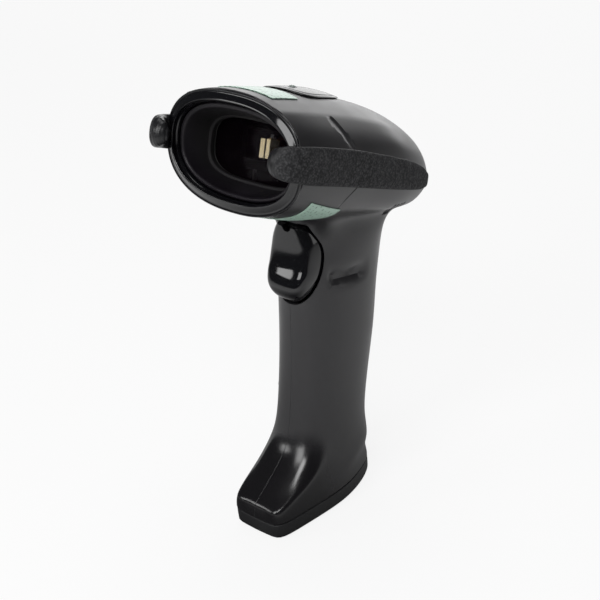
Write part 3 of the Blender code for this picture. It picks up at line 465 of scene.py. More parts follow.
def rubber():
    """Grey rubber: pebbled on the outer face, polished and finely ribbed round its edges."""
    s = Shader("rubber_grey")
    cells = s.add("TexVoronoi", {"Vector": s.place, "Scale": 1250.0}).outputs["Distance"]
    lumps = s.noise(620.0, 3.0, 0.6)
    pebble = s.math("ADD", s.times(cells, -0.7), lumps)
    across = s.axis("X")
    outward = s.times(s.axis("X", s.normal()), s.math("SIGN", across))
    front = s.spread(outward, 1.0, 0.0, 0.10, 0.40)
    ribs = s.math("SINE", s.times(across, 5200.0))
    grain = s.spread(pebble, 0.0, 1.0, 0.0, 0.8)
    coarse = s.blend(grain, rgb(0.008, 0.008, 0.009), rgb(0.085, 0.085, 0.088))
    worn = s.noise(70.0, 2.0)
    coarse = s.blend(s.spread(worn, 0.0, 0.35), coarse, rgb(0.036, 0.036, 0.038))
    s.set(Base_Color=s.blend(front, coarse, rgb(0.010, 0.010, 0.011)),
          Roughness=s.mix(front, s.spread(pebble, 0.85, 0.65), 0.32))
    pebbled = s.bump(pebble, 0.00030, s.edge_normal(0.0003))
    ribbed = s.bump(ribs, 0.00003, s.edge_normal(0.0003))
    mixed = s.add("Mix", data_type="VECTOR")
    s.put(mixed.inputs[0], front)
    s.put(mixed.inputs[4], pebbled)
    s.put(mixed.inputs[5], ribbed)
    s.set(Normal=mixed.outputs[1], Specular_IOR_Level=0.32)


def window_glass():
    """The dark tinted pane, half see-through, with faint wipe marks."""
    s = Shader("window_tint")
    marks = s.noise(1.0, 3.0, 0.6, s.stretched(40.0, 400.0, 400.0))
    s.set(Base_Color=s.blend(marks, rgb(0.0018, 0.0010, 0.0018), rgb(0.0032, 0.0018, 0.0028)),
          Roughness=s.spread(marks, 0.02, 0.06))
    s.set(Alpha=0.48, IOR=1.45, Specular_IOR_Level=0.08)


LABEL_ROWS = 420.0  # rows and dashes to a metre
LABEL_DASHES = 900.0


def label_print():
    """A pale green label: paper tone and rows of plain dashes that stand for print."""
    s = Shader("label_green")
    inverse = HEAD.inverted()
    local = s.add("Mapping", {"Vector": s.place, "Location": tuple(inverse.translation),
                              "Rotation": tuple(inverse.to_euler())}).outputs["Vector"]
    rows = s.times(s.axis("Y", local), LABEL_ROWS)
    off = s.math("ABSOLUTE", s.math("SUBTRACT", s.math("FRACT", rows), 0.5))
    in_row = s.math("LESS_THAN", off, 0.14)
    cell = s.add("CombineXYZ", {"X": s.times(s.axis("X", local), LABEL_DASHES),
                                "Y": s.math("FLOOR", rows)}).outputs[0]
    words = s.add("TexNoise", {"Vector": cell, "Scale": 1.0, "Detail": 1.0}).outputs["Fac"]
    ink = s.times(in_row, s.math("GREATER_THAN", words, 0.52))
    tone = s.noise(120.0, 3.0)
    paper = s.blend(s.spread(tone, 0.0, 1.0), rgb(0.34, 0.50, 0.41), rgb(0.40, 0.55, 0.46))
    s.set(Base_Color=s.blend(s.times(ink, 0.75), paper, rgb(0.06, 0.12, 0.09)),
          Roughness=s.spread(tone, 0.26, 0.36),
          Normal=s.bump(s.noise(2500.0, 2.0), 0.000006))


def metal(name, dark, light, rough, scale=(300.0, 300.0, 300.0), depth=0.000006):
    """A metal with grain stretched by the scale."""
    s = Shader(name)
    grain = s.noise(1.0, 4.0, 0.6, s.stretched(*scale))
    s.set(Base_Color=s.blend(s.spread(grain, 0.0, 1.0), rgb(*dark), rgb(*light)),
          Roughness=s.spread(grain, rough[0], rough[1]),
          Normal=s.bump(grain, depth))
    s.set(Metallic=1.0)


def board_green():
    """Solder resist over a faint net of copper tracks."""
    s = Shader("circuit_green")
    tracks = s.add("TexBrick", {"Vector": s.place, "Scale": 90.0, "Mortar Size": 0.06,
                                "Color1": rgb(0, 0, 0), "Color2": rgb(0, 0, 0),
                                "Mortar": rgb(1, 1, 1)}).outputs["Color"]
    tone = s.noise(400.0, 3.0)
    s.set(Base_Color=s.blend(tracks, rgb(0.010, 0.11, 0.045), rgb(0.03, 0.22, 0.09)),
          Roughness=s.spread(tone, 0.28, 0.42),
          Normal=s.bump(s.add("RGBToBW", {"Color": tracks}).outputs[0], 0.00003))


def simple_plastic(name, dark, light, rough, shine=0.5):
    """A small moulded or painted part: slight mottling and a fine matt grain."""
    s = Shader(name)
    tone = s.noise(700.0, 3.0)
    s.set(Base_Color=s.blend(s.spread(tone, 0.0, 1.0), rgb(*dark), rgb(*light)),
          Roughness=s.spread(tone, rough[0], rough[1]),
          Normal=s.bump(s.noise(4000.0, 2.0), 0.000008, s.edge_normal(0.0001)))
    s.set(Specular_IOR_Level=shine)


def clear_plastic():
    s = Shader("lens_clear")
    tone = s.noise(600.0, 2.0)
    s.set(Base_Color=s.blend(tone, rgb(0.75, 0.85, 0.80), rgb(0.85, 0.92, 0.88)),
          Roughness=s.spread(tone, 0.05, 0.12))
    s.set(Transmission_Weight=0.75, IOR=1.49)


worn_plastic("satin_black", (0.015, 0.0145, 0.016), (0.022, 0.021, 0.023), (0.30, 0.38),
             2600.0, 0.000010, glossy_toe_and_shade=True)
worn_plastic("base_black", (0.009, 0.009, 0.010), (0.015, 0.015, 0.016), (0.46, 0.56), 2200.0, 0.000022)
worn_plastic("cover_black", (0.006, 0.006, 0.007), (0.010, 0.010, 0.011), (0.22, 0.28), 2600.0, 0.000006)
gloss_plastic()
liner_plastic()
rubber()
window_glass()
label_print()
clear_plastic()
metal("steel", (0.42, 0.42, 0.44), (0.62, 0.62, 0.64), (0.22, 0.38))
metal("brass", (0.62, 0.40, 0.16), (0.80, 0.60, 0.30), (0.16, 0.30))
metal("mirror_gold", (0.86, 0.70, 0.42), (0.95, 0.82, 0.55), (0.04, 0.09))
metal("copper_wire", (0.45, 0.17, 0.08), (0.70, 0.32, 0.16), (0.25, 0.40),
      (200.0, 4000.0, 4000.0), 0.00004)
simple_plastic("die_cast_alloy", (0.0025, 0.0025, 0.0028), (0.006, 0.006, 0.0065), (0.75, 0.90), 0.15)
board_green()
simple_plastic("chip_black", (0.012, 0.012, 0.012), (0.024, 0.024, 0.024), (0.45, 0.60))
simple_plastic("white_plastic", (0.62, 0.61, 0.57), (0.74, 0.73, 0.69), (0.38, 0.50))


def dress_frame():
    """Gives every CAD node that stays in view the material of its slot."""
    slots = {entry["node"]: entry["material_slot"] for entry in frame["record"]["subparts"]}
    for name, obj in NODES.items():
        obj.data.materials.clear()
        obj.data.materials.append(MATERIALS[slots[name]])
        obj.data.shade_smooth()
        obj.data.set_sharp_from_angle(angle=radians(35))


# ---- housing

def head_section(station):
    """Eighteen points round a head section, from the top middle towards +x."""
    d, slant, top, crease_x, crease_h, width, side_h, bottom = station
    half = [
        (0.0, top),
        (0.52 * crease_x, top - 0.23 * (top - crease_h)),
        (crease_x, crease_h),
        (crease_x + 0.66 * (width - crease_x), side_h + 0.56 * (crease_h - side_h)),
        (width, side_h),
    ]
    for degrees in HEAD_ANGLES:
        x, h = superellipse(radians(degrees), RIM_POWERS[1])
        half.append((x * width, side_h + h * (side_h - bottom)))
    half[-1] = (0.0, bottom)
    points = half + [(-x, h) for x, h in half[-2:0:-1]]
    return [head(x, d - h * RIM_SLANT * slant, h) for x, h in points]


def handle_section(ring):
    """Sixteen points round the handle, from the front middle towards -x."""
    front, front_z, back, back_z, width, power = ring
    points = []
    for angle in turns(HANDLE_POINTS):
        x, forward = superellipse(angle, power)
        share = (1 + forward) / 2
        point = (-x * width, back + share * (front - back), back_z + share * (front_z - back_z))
        points.append(Vector(point) * MM)
    return points


def base_section(z, toe_setback=0.0, grow=0.0):
    """Sixteen points round the base outline, in the handle section's order."""
    half = []
    for x, y in BASE_OUTLINE:
        back = toe_setback * max(0.0, -y / TOE_REACH) ** 2
        half.append((x + (grow if x else 0.0), y + back + grow * y / TOE_REACH))
    points = [(-x, y, z) for x, y in half] + [(x, y, z) for x, y in half[-2:0:-1]]
    return [Vector(point) * MM for point in points]


def closing_patch(bm, ring, end):
    """Closes the head's rear with a grid of four by five faces between its corner points."""
    rows = [[ring[(-2 + i) % HEAD_POINTS] for i in range(5)]]
    left = [ring[(-2 - j) % HEAD_POINTS] for j in range(6)]
    right = [ring[2 + j] for j in range(6)]
    last = [ring[(-7 - i) % HEAD_POINTS] for i in range(5)]
    for j in range(1, 5):
        row = [left[j]]
        for i in range(1, 4):
            u, v = i / 4, j / 5
            across = left[j].co.lerp(right[j].co, u)
            down = rows[0][i].co.lerp(last[i].co, v)
            corners = rows[0][0].co.lerp(rows[0][4].co, u).lerp(last[0].co.lerp(last[4].co, u), v)
            point = across + down - corners
            bulge = (1 - (2 * u - 1) ** 4) * (1 - (2 * v - 1) ** 4)
            point = point + Vector((0, (end - point).y, 0)) * 0.55 * bulge
            row.append(bm.verts.new(point))
        rows.append(row + [right[j]])
    rows.append(last)
    for upper, lower in zip(rows, rows[1:]):
        for i in range(4):
            bm.faces.new((upper[i], upper[i + 1], lower[i + 1], lower[i]))


def housing_cage():
    """The coarse cage of the whole outer skin, open at the mouth and under the base."""
    bm = bmesh.new()
    rings = [[bm.verts.new(point) for point in head_section(station)] for station in HEAD_STATIONS]
    for number, (first, second) in enumerate(zip(rings, rings[1:])):
        for i in range(HEAD_POINTS):
            in_hole = HOLE_FIRST <= number < HOLE_LAST and 7 <= i < 11
            if not in_hole:
                j = (i + 1) % HEAD_POINTS
                bm.faces.new((first[i], first[j], second[j], second[i]))
    closing_patch(bm, rings[-1], head(0, HEAD_END, -10.5))

    crease = bm.edges.layers.float.new("crease_edge")
    for number, (first, second) in enumerate(zip(rings, rings[1:])):
        weight = max(0.0, 0.8 - 0.13 * max(0, number - 3))
        for i in (2, HEAD_POINTS - 2):
            bm.edges.get((first[i], second[i]))[crease] = weight

    front, back = rings[HOLE_FIRST], rings[HOLE_LAST]
    sides = rings[HOLE_FIRST + 1:HOLE_LAST]
    ring = [front[9], front[10], front[11]] + [row[11] for row in sides]
    ring += [back[i] for i in (11, 10, 9, 8, 7)]
    ring += [row[7] for row in reversed(sides)] + [front[7], front[8]]
    sections = [handle_section(item) for item in HANDLE_RINGS]
    toe = len(sections)
    sections.append(base_section(TOE_EDGE_Z, toe_setback=TOE_SETBACK, grow=-TOE_DRAW_IN))
    sections.append(base_section(CAP_SEAM_Z))
    sections.append(base_section(CAP_SEAM_Z - 3.0))
    for number, section in enumerate(sections):
        following = [bm.verts.new(point) for point in section]
        for i in range(HANDLE_POINTS):
            j = (i + 1) % HANDLE_POINTS
            bm.faces.new((ring[i], ring[j], following[j], following[i]))
            if number == toe and (i < 2 or i > HANDLE_POINTS - 3):
                bm.edges.get((following[i], following[j]))[crease] = TOE_FRONT_CREASE
        if number in (toe - 1, toe):
            for i in (2, HANDLE_POINTS - 2):
                bm.edges.get((ring[i], following[i]))[crease] = TOE_CREASE
        ring = following
    return mesh_from(bm, "housing_cage")


def fit_cage(obj, rounds=6):
    """Moves the cage's points until the smooth surface passes through where they began."""
    targets = [vertex.co.copy() for vertex in obj.data.vertices]
    for _ in range(rounds):
        bpy.context.view_layer.update()
        graph = bpy.context.evaluated_depsgraph_get()
        smooth = obj.evaluated_get(graph).data
        moves = [target - smooth.vertices[i].co for i, target in enumerate(targets)]
        for vertex, move in zip(obj.data.vertices, moves):
            vertex.co += move
        obj.data.update()


# The soft recess on each side of the handle: y and z along its middle
RECESS_LINE = ((8.6, 97.0), (12.4, 95.7), (19.2, 93.8), (27.0, 92.8))
RECESS_DEPTH = 2.5
RECESS_WIDTHS = (3.2, 1.9)  # above and below its middle
RECESS_FADES = (4.0, 7.0)  # how far its front and back ends take to reach full depth
RECESS_OVERRUN = 4.0  # how far it runs past the line's last point


def recess_depth(y, z):
    """How far the handle's side is pressed in, in millimetres: sharper below than above."""
    line = RECESS_LINE
    end = line[-1][0] + RECESS_OVERRUN
    if not line[0][0] < y < end:
        return 0.0
    middle = line[-1][1]
    for (y0, z0), (y1, z1) in zip(line, line[1:]):
        if y <= y1:
            middle = z0 + (z1 - z0) * (y - y0) / (y1 - y0)
            break
    off = z - middle
    width = RECESS_WIDTHS[0] if off > 0 else RECESS_WIDTHS[1]
    ends = min(1.0, (end - y) / RECESS_FADES[1], (y - line[0][0]) / RECESS_FADES[0])
    ends = ends * ends * (3 - 2 * ends)
    return RECESS_DEPTH * exp(-(off / width) ** 2) * ends


def sculpt(mesh):
    """Presses the handle's recesses into the fine skin."""
    for vertex in mesh.vertices:
        x, y, z = vertex.co / MM
        if abs(x) > 9 and 85 < z < 108:
            vertex.co.x -= (1 if x > 0 else -1) * recess_depth(y, z) * MM
    mesh.update()


def housing_skin():
    """The fine outer skin of both halves, as an object."""
    skin = add_object("skin", housing_cage())
    smooth = skin.modifiers.new("smooth", "SUBSURF")
    smooth.levels = smooth.render_levels = SUBDIVISION
    fit_cage(skin)
    apply_modifiers(skin)
    sculpt(skin.data)
    return skin


def tree_of(mesh):
    return BVHTree.FromPolygons([vertex.co for vertex in mesh.vertices],
                                [tuple(face.vertices) for face in mesh.polygons])


def channel(name, tree, points, half_width, reach, front_stretch=1.0, side=1):
    """A closed worm that cuts a groove along the skin. A point gives x, d, h and depth."""
    path = [(head(side * x, d, h), depth) for x, d, h, depth in smooth_through(points, 8)]
    found = [(*tree.find_nearest(point)[:2], depth) for point, depth in path]
    rings = []
    for i, (place, normal, depth) in enumerate(found):
        ahead = found[min(i + 1, len(found) - 1)][0] - found[max(i - 1, 0)][0]
        across = ahead.cross(normal).normalized() * side
        centre = place + normal * (reach - depth) * MM
        ring = []
        for angle in turns(48):
            wide = half_width * (front_stretch if cos(angle) > 0 else 1.0)
            ring.append(centre + (across * cos(angle) * wide + normal * sin(angle) * reach) * MM)
        rings.append(ring)
    return loft(name, rings)


# Grooves and vents on the head's side: x, d, h and depth along each
UPPER_GROOVE = (
    (22.4, 31.0, 13.7, 0.05), (23.0, 31.6, 12.8, 0.45), (25.7, 33.6, 10.0, 0.42),
    (28.5, 36.1, 5.8, 0.28), (29.6, 38.0, 3.2, 0.15),
)
LOWER_GROOVE = (
    (32.0, 39.6, -8.6, 0.25), (31.6, 38.7, -10.0, 0.25), (30.0, 36.5, -13.4, 0.22),
    (27.3, 35.2, -17.5, 0.02),
)
VENTS = [((15.0, 79.0 + i, -26.0, 1.3), (19.5, 76.6 + 1.6 * i, -23.4, 1.3),
          (24.0, 73.2 + 2.2 * i, -19.3, 1.3)) for i in range(4)]


def groove_cutters(tree):
    for side in (1, -1):
        yield channel("upper_groove", tree, UPPER_GROOVE, 2.2, 2.6, 2.0, side)
        yield channel("lower_groove", tree, LOWER_GROOVE, 0.5, 0.5, 1.0, side)
        for vent in VENTS:
            yield channel("vent", tree, vent, 0.42, 1.3, 1.0, side)


def slot_half_width(z):
    """Half the width of the trigger's opening at a height."""
    share = min(1.0, abs(z - SLOT_MIDDLE_Z) / SLOT_HALF_HEIGHT)
    return SLOT_HALF_WIDTH * (1.0 - share ** SLOT_POWER) ** (1.0 / SLOT_POWER)


def slot_cutter():
    outline = []
    for angle in turns(96):
        x, z = superellipse(angle, SLOT_POWER)
        outline.append((x * SLOT_HALF_WIDTH, min(SLOT_TOP_Z, SLOT_MIDDLE_Z + z * SLOT_HALF_HEIGHT)))
    return loft("slot", [[Vector((x, y, z)) * MM for x, z in outline] for y in (-14.0, 13.4)])


def front_cutter():
    """A slab whose rear face is the slanted plane behind the bezel."""
    corners = ((-60, -60), (60, -60), (60, 60), (-60, 60))
    rings = [[head(x, front - h * RIM_SLANT, h) for x, h in corners]
             for front in (RIM_D + PARTING_DEPTH - 30.0, RIM_D + PARTING_DEPTH)]
    return loft("front", rings)


X_TURN = Matrix.Rotation(pi / 2, 4, "Y")


def make_housing():
    """Both half shells. It returns the skin's tree, for the pieces that lie on it."""
    skin = housing_skin()
    tree = tree_of(skin.data)
    wall = skin.modifiers.new("wall", "SOLIDIFY")
    wall.thickness = WALL * MM
    wall.offset = -1.0
    apply_modifiers(skin)
    shell = skin.data
    bpy.data.objects.remove(skin)
    below = block("below", (-0.1, -0.1, -0.05), (0.1, 0.1, CAP_SEAM_Z * MM))
    lens_hole = cylinder("lens_hole", head(0, LENS_D, 19.0), 1.65 * MM, 0.016, HEAD_UP_TURN)
    shell = combine(shell, below, front_cutter(), slot_cutter(), *bumper_pockets(),
                    *groove_cutters(tree), lens_hole)
    for side, name in ((-1, "housing_left"), (1, "housing_right")):
        near, far = side * SEAM * MM, side * 0.1
        room = block("room", (min(near, far), -0.2, -0.1), (max(near, far), 0.2, 0.3))
        half = combine(shell, room, operation="INTERSECT")
        if side < 0:
            for y, z in HOUSING_SCREWS:
                place = Vector((0, y, z)) * MM
                out = tree.ray_cast(place + Vector((-0.1, 0, 0)), Vector((1, 0, 0)))[0].x
                seat = out + SINK_DEPTH * MM
                cup = cylinder("cup", Vector((seat, *place.yz)), CUP_RADIUS * MM, 0.005, X_TURN)
                half = combine(half, cup, operation="UNION")
                sink = cylinder("sink", Vector((seat - 0.01, *place.yz)), SINK_RADIUS * MM, 0.02, X_TURN)
                bore = cylinder("bore", Vector((seat, *place.yz)), BORE_RADIUS * MM, 0.02, X_TURN)
                half = combine(half, sink, bore)
        piece(name + "_shell", half, "satin_black", name)
    return tree


# ---- bumpers

# Domed ends of a bumper: the section's size and how far it is pushed along
FRONT_DOME = ((0.45, -0.85), (0.8, -0.6), (0.95, -0.25), (1.0, 0.0))
REAR_DOME = ((1.0, 0.0), (0.96, 0.3), (0.82, 0.7), (0.5, 1.0))


def bumper_rings(side, grow=0.0, sides=40, steps=6):
    """Rings along one bumper: nearly round at the knob, and squarer towards its rear."""
    stations = smooth_through(BUMPER_STATIONS, steps)
    rings = []
    last = len(stations) - 1
    for number, (x, d, thick, top, bottom) in enumerate(stations):
        before, after = stations[max(0, number - 1)], stations[min(last, number + 1)]
        along = Vector((after[0] - before[0], after[1] - before[1])).normalized()
        outward = Vector((along.y, -along.x))
        middle, tall = (top + bottom) / 2, (top - bottom) / 2
        power = 2.05 + 1.3 * min(1.0, max(0.0, number - 16) / 34.0)
        domes = {0: FRONT_DOME, last: REAR_DOME}.get(number, ((1.0, 0.0),))
        for scale, push in domes:
            shift = push + grow * ((push > 0) - (push < 0))
            ring = []
            for i in range(sides):
                u, v = superellipse(2 * pi * (i + 0.5) / sides, power)
                u, v = u * (thick * scale + grow), v * (tall * scale + grow)
                px = x + outward.x * u + along.x * shift
                pd = d + outward.y * u + along.y * shift
                ring.append(head(side * px, pd, middle + v))
            rings.append(ring)
    return rings


def bumper_pockets():
    return [loft("pocket", bumper_rings(side, POCKET_GAP)) for side in (1, -1)]


def make_bumpers():
    for side, name in ((-1, "bumper_left"), (1, "bumper_right")):
        loft_piece(name + "_rubber", bumper_rings(side), "rubber_grey", name)


# ---- mouth

def rim_point(angle, inset, depth):
    """Head-frame point on the mouth's outline, moved inwards and rearwards."""
    x, h = superellipse(angle, RIM_POWERS[0] if cos(angle) > 0 else RIM_POWERS[1])
    height = RIM_TOP if h > 0 else RIM_BOTTOM
    h = RIM_MID_H + h * (height - inset)
    return head(x * (RIM_HALF_WIDTH - inset), RIM_D + depth - h * RIM_SLANT, h)


# The bezel's section: how far in from the rim and how far behind it
BEZEL_BACK = PARTING_DEPTH - 0.12
BEZEL_PROFILE = (
    (0.02, BEZEL_BACK), (0.02, 1.75), (0.12, 1.5), (0.35, 1.34), (1.0, 1.42), (1.35, 1.40),
    (1.6, 1.24), (3.2, 0.34), (3.5, 0.22), (3.72, 0.2), (3.92, 0.32), (4.04, 0.62), (4.1, 1.2),
    (4.2, 2.0), (4.4, 2.25), (4.55, 2.6), (4.55, 4.5), (2.6, 4.8), (2.3, 4.6), (2.3, BEZEL_BACK),
)


def make_bezel():
    """The polished ring: a low outer step, a sloped band and a stepped inner wall."""
    rings = [[rim_point(a, *point) for point in BEZEL_PROFILE] for a in turns(RIM_STEPS)]
    mesh = combine(loft("front_bezel_ring", rings, looped=True), *bumper_pockets())
    piece("front_bezel_ring", mesh, "gloss_black", "front_bezel")


WINDOW_HALF_WIDTH = 24.0
WINDOW_TOP = 9.5
WINDOW_BOTTOM = -14.5
WINDOW_D = 22.0


def oblong(inset, d, power=3.2):
    """A ring of points: the window's rounded rectangle, moved inwards."""
    middle, tall = (WINDOW_TOP + WINDOW_BOTTOM) / 2, (WINDOW_TOP - WINDOW_BOTTOM) / 2
    ring = []
    for angle in turns(RIM_STEPS):
        x, h = superellipse(angle, power)
        ring.append(head(x * (WINDOW_HALF_WIDTH - inset), d, middle + h * (tall - inset)))
    return ring


# The funnel's lip, as the bezel's section, and its ledge: inset and distance ahead of the window
LINER_LIP = (
    (4.9, 6.2), (4.9, 3.9), (5.02, 3.5), (5.3, 3.2), (5.7, 3.05), (6.15, 3.1),
    (6.5, 3.4), (6.7, 3.9), (6.8, 4.6), (7.0, 5.4),
)
LINER_LEDGE = ((0.2, 2.6), (0.35, 2.2), (1.1, 2.0), (1.3, 1.7), (1.3, 0.0), (-1.6, 0.0))


def make_liner():
    """The funnel: a rounded lip, walls that narrow, a ledge, and a flange for the window."""
    rings = [[rim_point(a, inset, depth) for a in turns(RIM_STEPS)] for inset, depth in LINER_LIP]
    ledge = [oblong(inset, WINDOW_D - ahead) for inset, ahead in LINER_LEDGE]
    lip = rings[-1]
    rings += [[a.lerp(b, share) for a, b in zip(lip, ledge[0])] for share in (0.2, 0.4, 0.6, 0.8, 0.95)]
    rings += ledge
    loft_piece("mouth_liner_funnel", rings, "liner_black", "mouth_liner", looped=True)


def make_window():
    """The pane with a chamfered edge, and the gasket that it is pressed on."""
    front = WINDOW_D + 1.2
    rings = [oblong(-1.1, front), oblong(-1.4, front + 0.3), oblong(-1.4, front + 1.0),
             oblong(-1.1, front + 1.2)]
    loft_piece("scan_window_pane", rings, "window_tint", "scan_window")
    gasket = [oblong(-1.4, WINDOW_D + 0.3), oblong(-1.4, WINDOW_D + 0.9), oblong(1.0, WINDOW_D + 0.9),
              oblong(0.8, WINDOW_D + 0.6), oblong(1.0, WINDOW_D + 0.3)]
    loft_piece("window_seal_ring", gasket, "chip_black", "window_seal", looped=True, slot="rubber_grey")


# ---- pieces on the head's skin

def on_skin(tree, x, d, side, lift):
    """A point at a height over the skin, above (side 1) or below the head."""
    start = head(x, d, side * 60.0)
    place, normal = tree.ray_cast(start, (head(x, d, 0) - start).normalized())[:2]
    return place + normal * lift * MM


# The cover's section: share of its size and height over the skin
COVER_PROFILE = (
    (0.1, 0.35), (0.6, 0.35), (0.97, 0.3), (1.0, 0.34), (1.0, 0.45), (0.985, 0.62), (0.95, 0.74),
    (0.87, 0.86), (0.855, 0.62), (0.835, 0.62), (0.82, 0.9), (0.6, 1.2), (0.3, 1.42), (0.1, 1.5),
)
# The indicator's section, from its foot up: radius and height
DOME_PROFILE = (
    (1.5, -3.6), (1.5, 0.8), (1.45, 1.15), (1.25, 1.5), (0.95, 1.72), (0.5, 1.86), (0.05, 1.9),
)


def make_cover(tree):
    """The raised cover on top, with a sunk border line and a hole for the indicator."""
    first, last, front_half, rear_half = COVER
    rings = []
    for share, lift in COVER_PROFILE:
        ring = []
        for angle in turns(72):
            across, along = superellipse(angle, 3.0)
            d = (first + last) / 2 - along * share * (last - first) / 2
            half = front_half + (rear_half - front_half) * (d - first) / (last - first)
            ring.append(on_skin(tree, across * share * half, d, 1, lift))
        rings.append(ring)
    mesh = loft("top_cover_shell", rings)
    middle = on_skin(tree, 0.2, LENS_D, 1, 0.0)
    mesh = combine(mesh, cylinder("lens_hole", middle, 1.75 * MM, 0.012, HEAD_UP_TURN))
    piece("top_cover_shell", mesh, "cover_black", "top_cover", slot="gloss_black")
    turn = HEAD_UP_TURN.to_3x3()
    rings = [[middle + turn @ Vector((radius * cos(a), radius * sin(a), height)) * MM for a in turns(32)]
             for radius, height in DOME_PROFILE]
    loft_piece("indicator_dome", rings, "lens_clear", "indicator_lens")


def make_label(node, tree, shape, side, stations=48):
    """A thin label wrapped over the head from side to side."""
    first, last, first_half, last_half = shape
    rings = []
    for i in range(stations + 1):
        share = sin(pi / 2 * (2 * i / stations - 1))
        row = [(share * (first_half + (last_half - first_half) * k / 12), first + (last - first) * k / 12)
               for k in range(13)]
        rings.append([on_skin(tree, x, d, side, 0.1) for x, d in row]
                     + [on_skin(tree, x, d, side, 0.35) for x, d in reversed(row)])
    loft_piece(node + "_print", rings, "label_green", node)


# ---- trigger

def trigger_ring(z, face_y):
    """A section of the trigger: a crowned face, rolled edges and a flat back."""
    width = slot_half_width(z) - TRIGGER_SIDE_GAP
    ring = []
    for k in range(49):
        share = sin(pi / 2 * (2 * k / 48 - 1))
        sag = 0.9 * share ** 2 + 3.0 * abs(share) ** 8 + 3.0 * abs(share) ** 40
        ring.append(Vector((share * width, min(face_y + sag, TRIGGER_BACK - 1.0), z)) * MM)
    return ring + [Vector((x * width, TRIGGER_BACK, z)) * MM for x in (1.0, 0.5, 0.0, -0.5, -1.0)]


def make_trigger():
    """The polished trigger, with a finger bulge, a rolled lip and a notch at its top."""
    sections = smooth_through(TRIGGER_FACE, 8)
    rings = [trigger_ring(z, y) for z, y in sections]
    top_z, top_y = sections[0]
    rings.insert(0, trigger_ring(top_z + 0.15, top_y + 0.35))
    low_z, low_y = sections[-1]
    rings.append(trigger_ring(low_z - 0.25, low_y + 0.9))
    notch = cylinder("notch", Vector((0, 3.0, SLOT_TOP_Z)) * MM, 2.3 * MM, 0.008,
                     Matrix.Rotation(pi / 2, 4, "X"))
    mesh = combine(loft("trigger_body", rings), notch)
    piece("trigger_body", mesh, "gloss_black", "trigger", body="trigger")


# ---- base

BASE_STEPS = 120


def base_outline(tree):
    """The housing's outline just above the seam, found from the skin."""
    centre = Vector((0, 0, CAP_SEAM_Z + 0.4)) * MM
    points = []
    for angle in turns(BASE_STEPS):
        away = Vector((sin(angle), -cos(angle), 0))
        place = tree.ray_cast(centre + away * 0.08, -away)[0]
        points.append(place.xy)
    return points


# The base cap's section, from its inside down to the foot: height and inset
BASE_CAP_PROFILE = (
    (2.2, 2.0), (6.9, 2.0), (6.9, 0.75), (6.45, 0.7), (6.35, 0.15), (6.2, 0.02), (3.0, 0.0),
    (1.2, 0.06), (0.6, 0.3), (0.2, 0.75), (0.0, 1.3), (0.0, 2.5),
)
CAP_SCREW = (6.2, 19.5)  # x, on both sides, and y


def make_base(tree):
    """The base cap: a shadow groove under the housing, straight sides and a rounded foot."""
    outline = base_outline(tree)

    def ring(z, inset):
        points = []
        for i, point in enumerate(outline):
            along = outline[(i + 1) % BASE_STEPS] - outline[i - 1]
            outward = Vector((along.y, -along.x)).normalized()
            place = point - outward * inset * MM
            points.append(Vector((place.x, place.y, z * MM)))
        return points

    mesh = loft("base_cap_tray", [ring(z, inset) for z, inset in BASE_CAP_PROFILE])
    for side in (1, -1):
        place = Vector((side * CAP_SCREW[0], CAP_SCREW[1], 0)) * MM
        post = cylinder("post", place + Vector((0, 0, 0.0035)), 0.0034, 0.0045)
        mesh = combine(mesh, post, operation="UNION")
        mesh = combine(mesh, cylinder("sink", place, 0.0027, 0.0052))
    low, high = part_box("cable_socket")
    gap = Vector((0.0004, 0.0004, 0.05))
    mesh = combine(mesh, block("socket_opening", low - gap, high + gap))
    piece("base_cap_tray", mesh, "base_black", "base_cap", slot="satin_black")


CONTACTS = 10


def make_contacts():
    """Ten sprung contacts in the socket, in the place of the CAD's single block."""
    low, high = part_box("socket_contacts")
    middle = (low + high) / 2
    pitch = (high.x - low.x) / CONTACTS
    size = Vector((pitch * 0.55, (high.y - low.y) * 0.8, high.z - low.z))
    bm = bmesh.new()
    for i in range(CONTACTS):
        x = low.x + pitch * (i + 0.5)
        result = bmesh.ops.create_cube(bm, size=1.0)["verts"]
        bmesh.ops.scale(bm, vec=size, verts=result)
        bmesh.ops.translate(bm, vec=Vector((x, middle.y, middle.z)), verts=result)
        for vertex in result:
            if vertex.co.z < low.z + 0.001:
                vertex.co.y += 0.0012
    piece("socket_contact_row", mesh_from(bm, "socket_contact_row"), "brass", "socket_contacts")


# ---- small metal pieces

# The mirror's faceted front in plan: across, and how far behind the front plane
MIRROR_FACETS = (
    (-3.5, 0.32), (-1.8, 0.0), (-1.3, 0.25), (0.1, 0.0), (0.5, 0.0), (3.5, 0.0),
)
MIRROR_TURN = radians(28.0)
MIRROR_LEAN = radians(-4.0)
MIRROR_OFFSET = 2.45  # from the pin to the middle of the mirror's thickness
MIRROR_HALF = 3.5  # half its width and its height
MIRROR_HALF_THICKNESS = 0.4


def make_mirror():
    """The scan mirror: a polished plate whose front is broken into upright facets."""
    turn = Matrix.Rotation(MIRROR_TURN, 4, "Z")
    lean = Matrix.Translation((0, -MIRROR_OFFSET * MM, 0)) @ Matrix.Rotation(MIRROR_LEAN, 4, "X")
    place = HEAD @ Matrix.Translation(MIRROR_PLACE * MM) @ turn @ lean
    outline = [(side * MIRROR_HALF, MIRROR_HALF_THICKNESS) for side in (1, -1)]
    outline += [(x, back - MIRROR_HALF_THICKNESS) for x, back in MIRROR_FACETS]
    rings = [[place @ (Vector((x, y, height)) * MM) for x, y in outline]
             for height in (-MIRROR_HALF, MIRROR_HALF)]
    loft_piece("scan_mirror_plate", rings, "mirror_gold", "scan_mirror", slot="brass", body="mirror",
               smooth=3.0)


SPRING_WIRE = 0.35  # radius
SPRING_TURNS = 7
SPRING_STEPS = 28  # to a turn


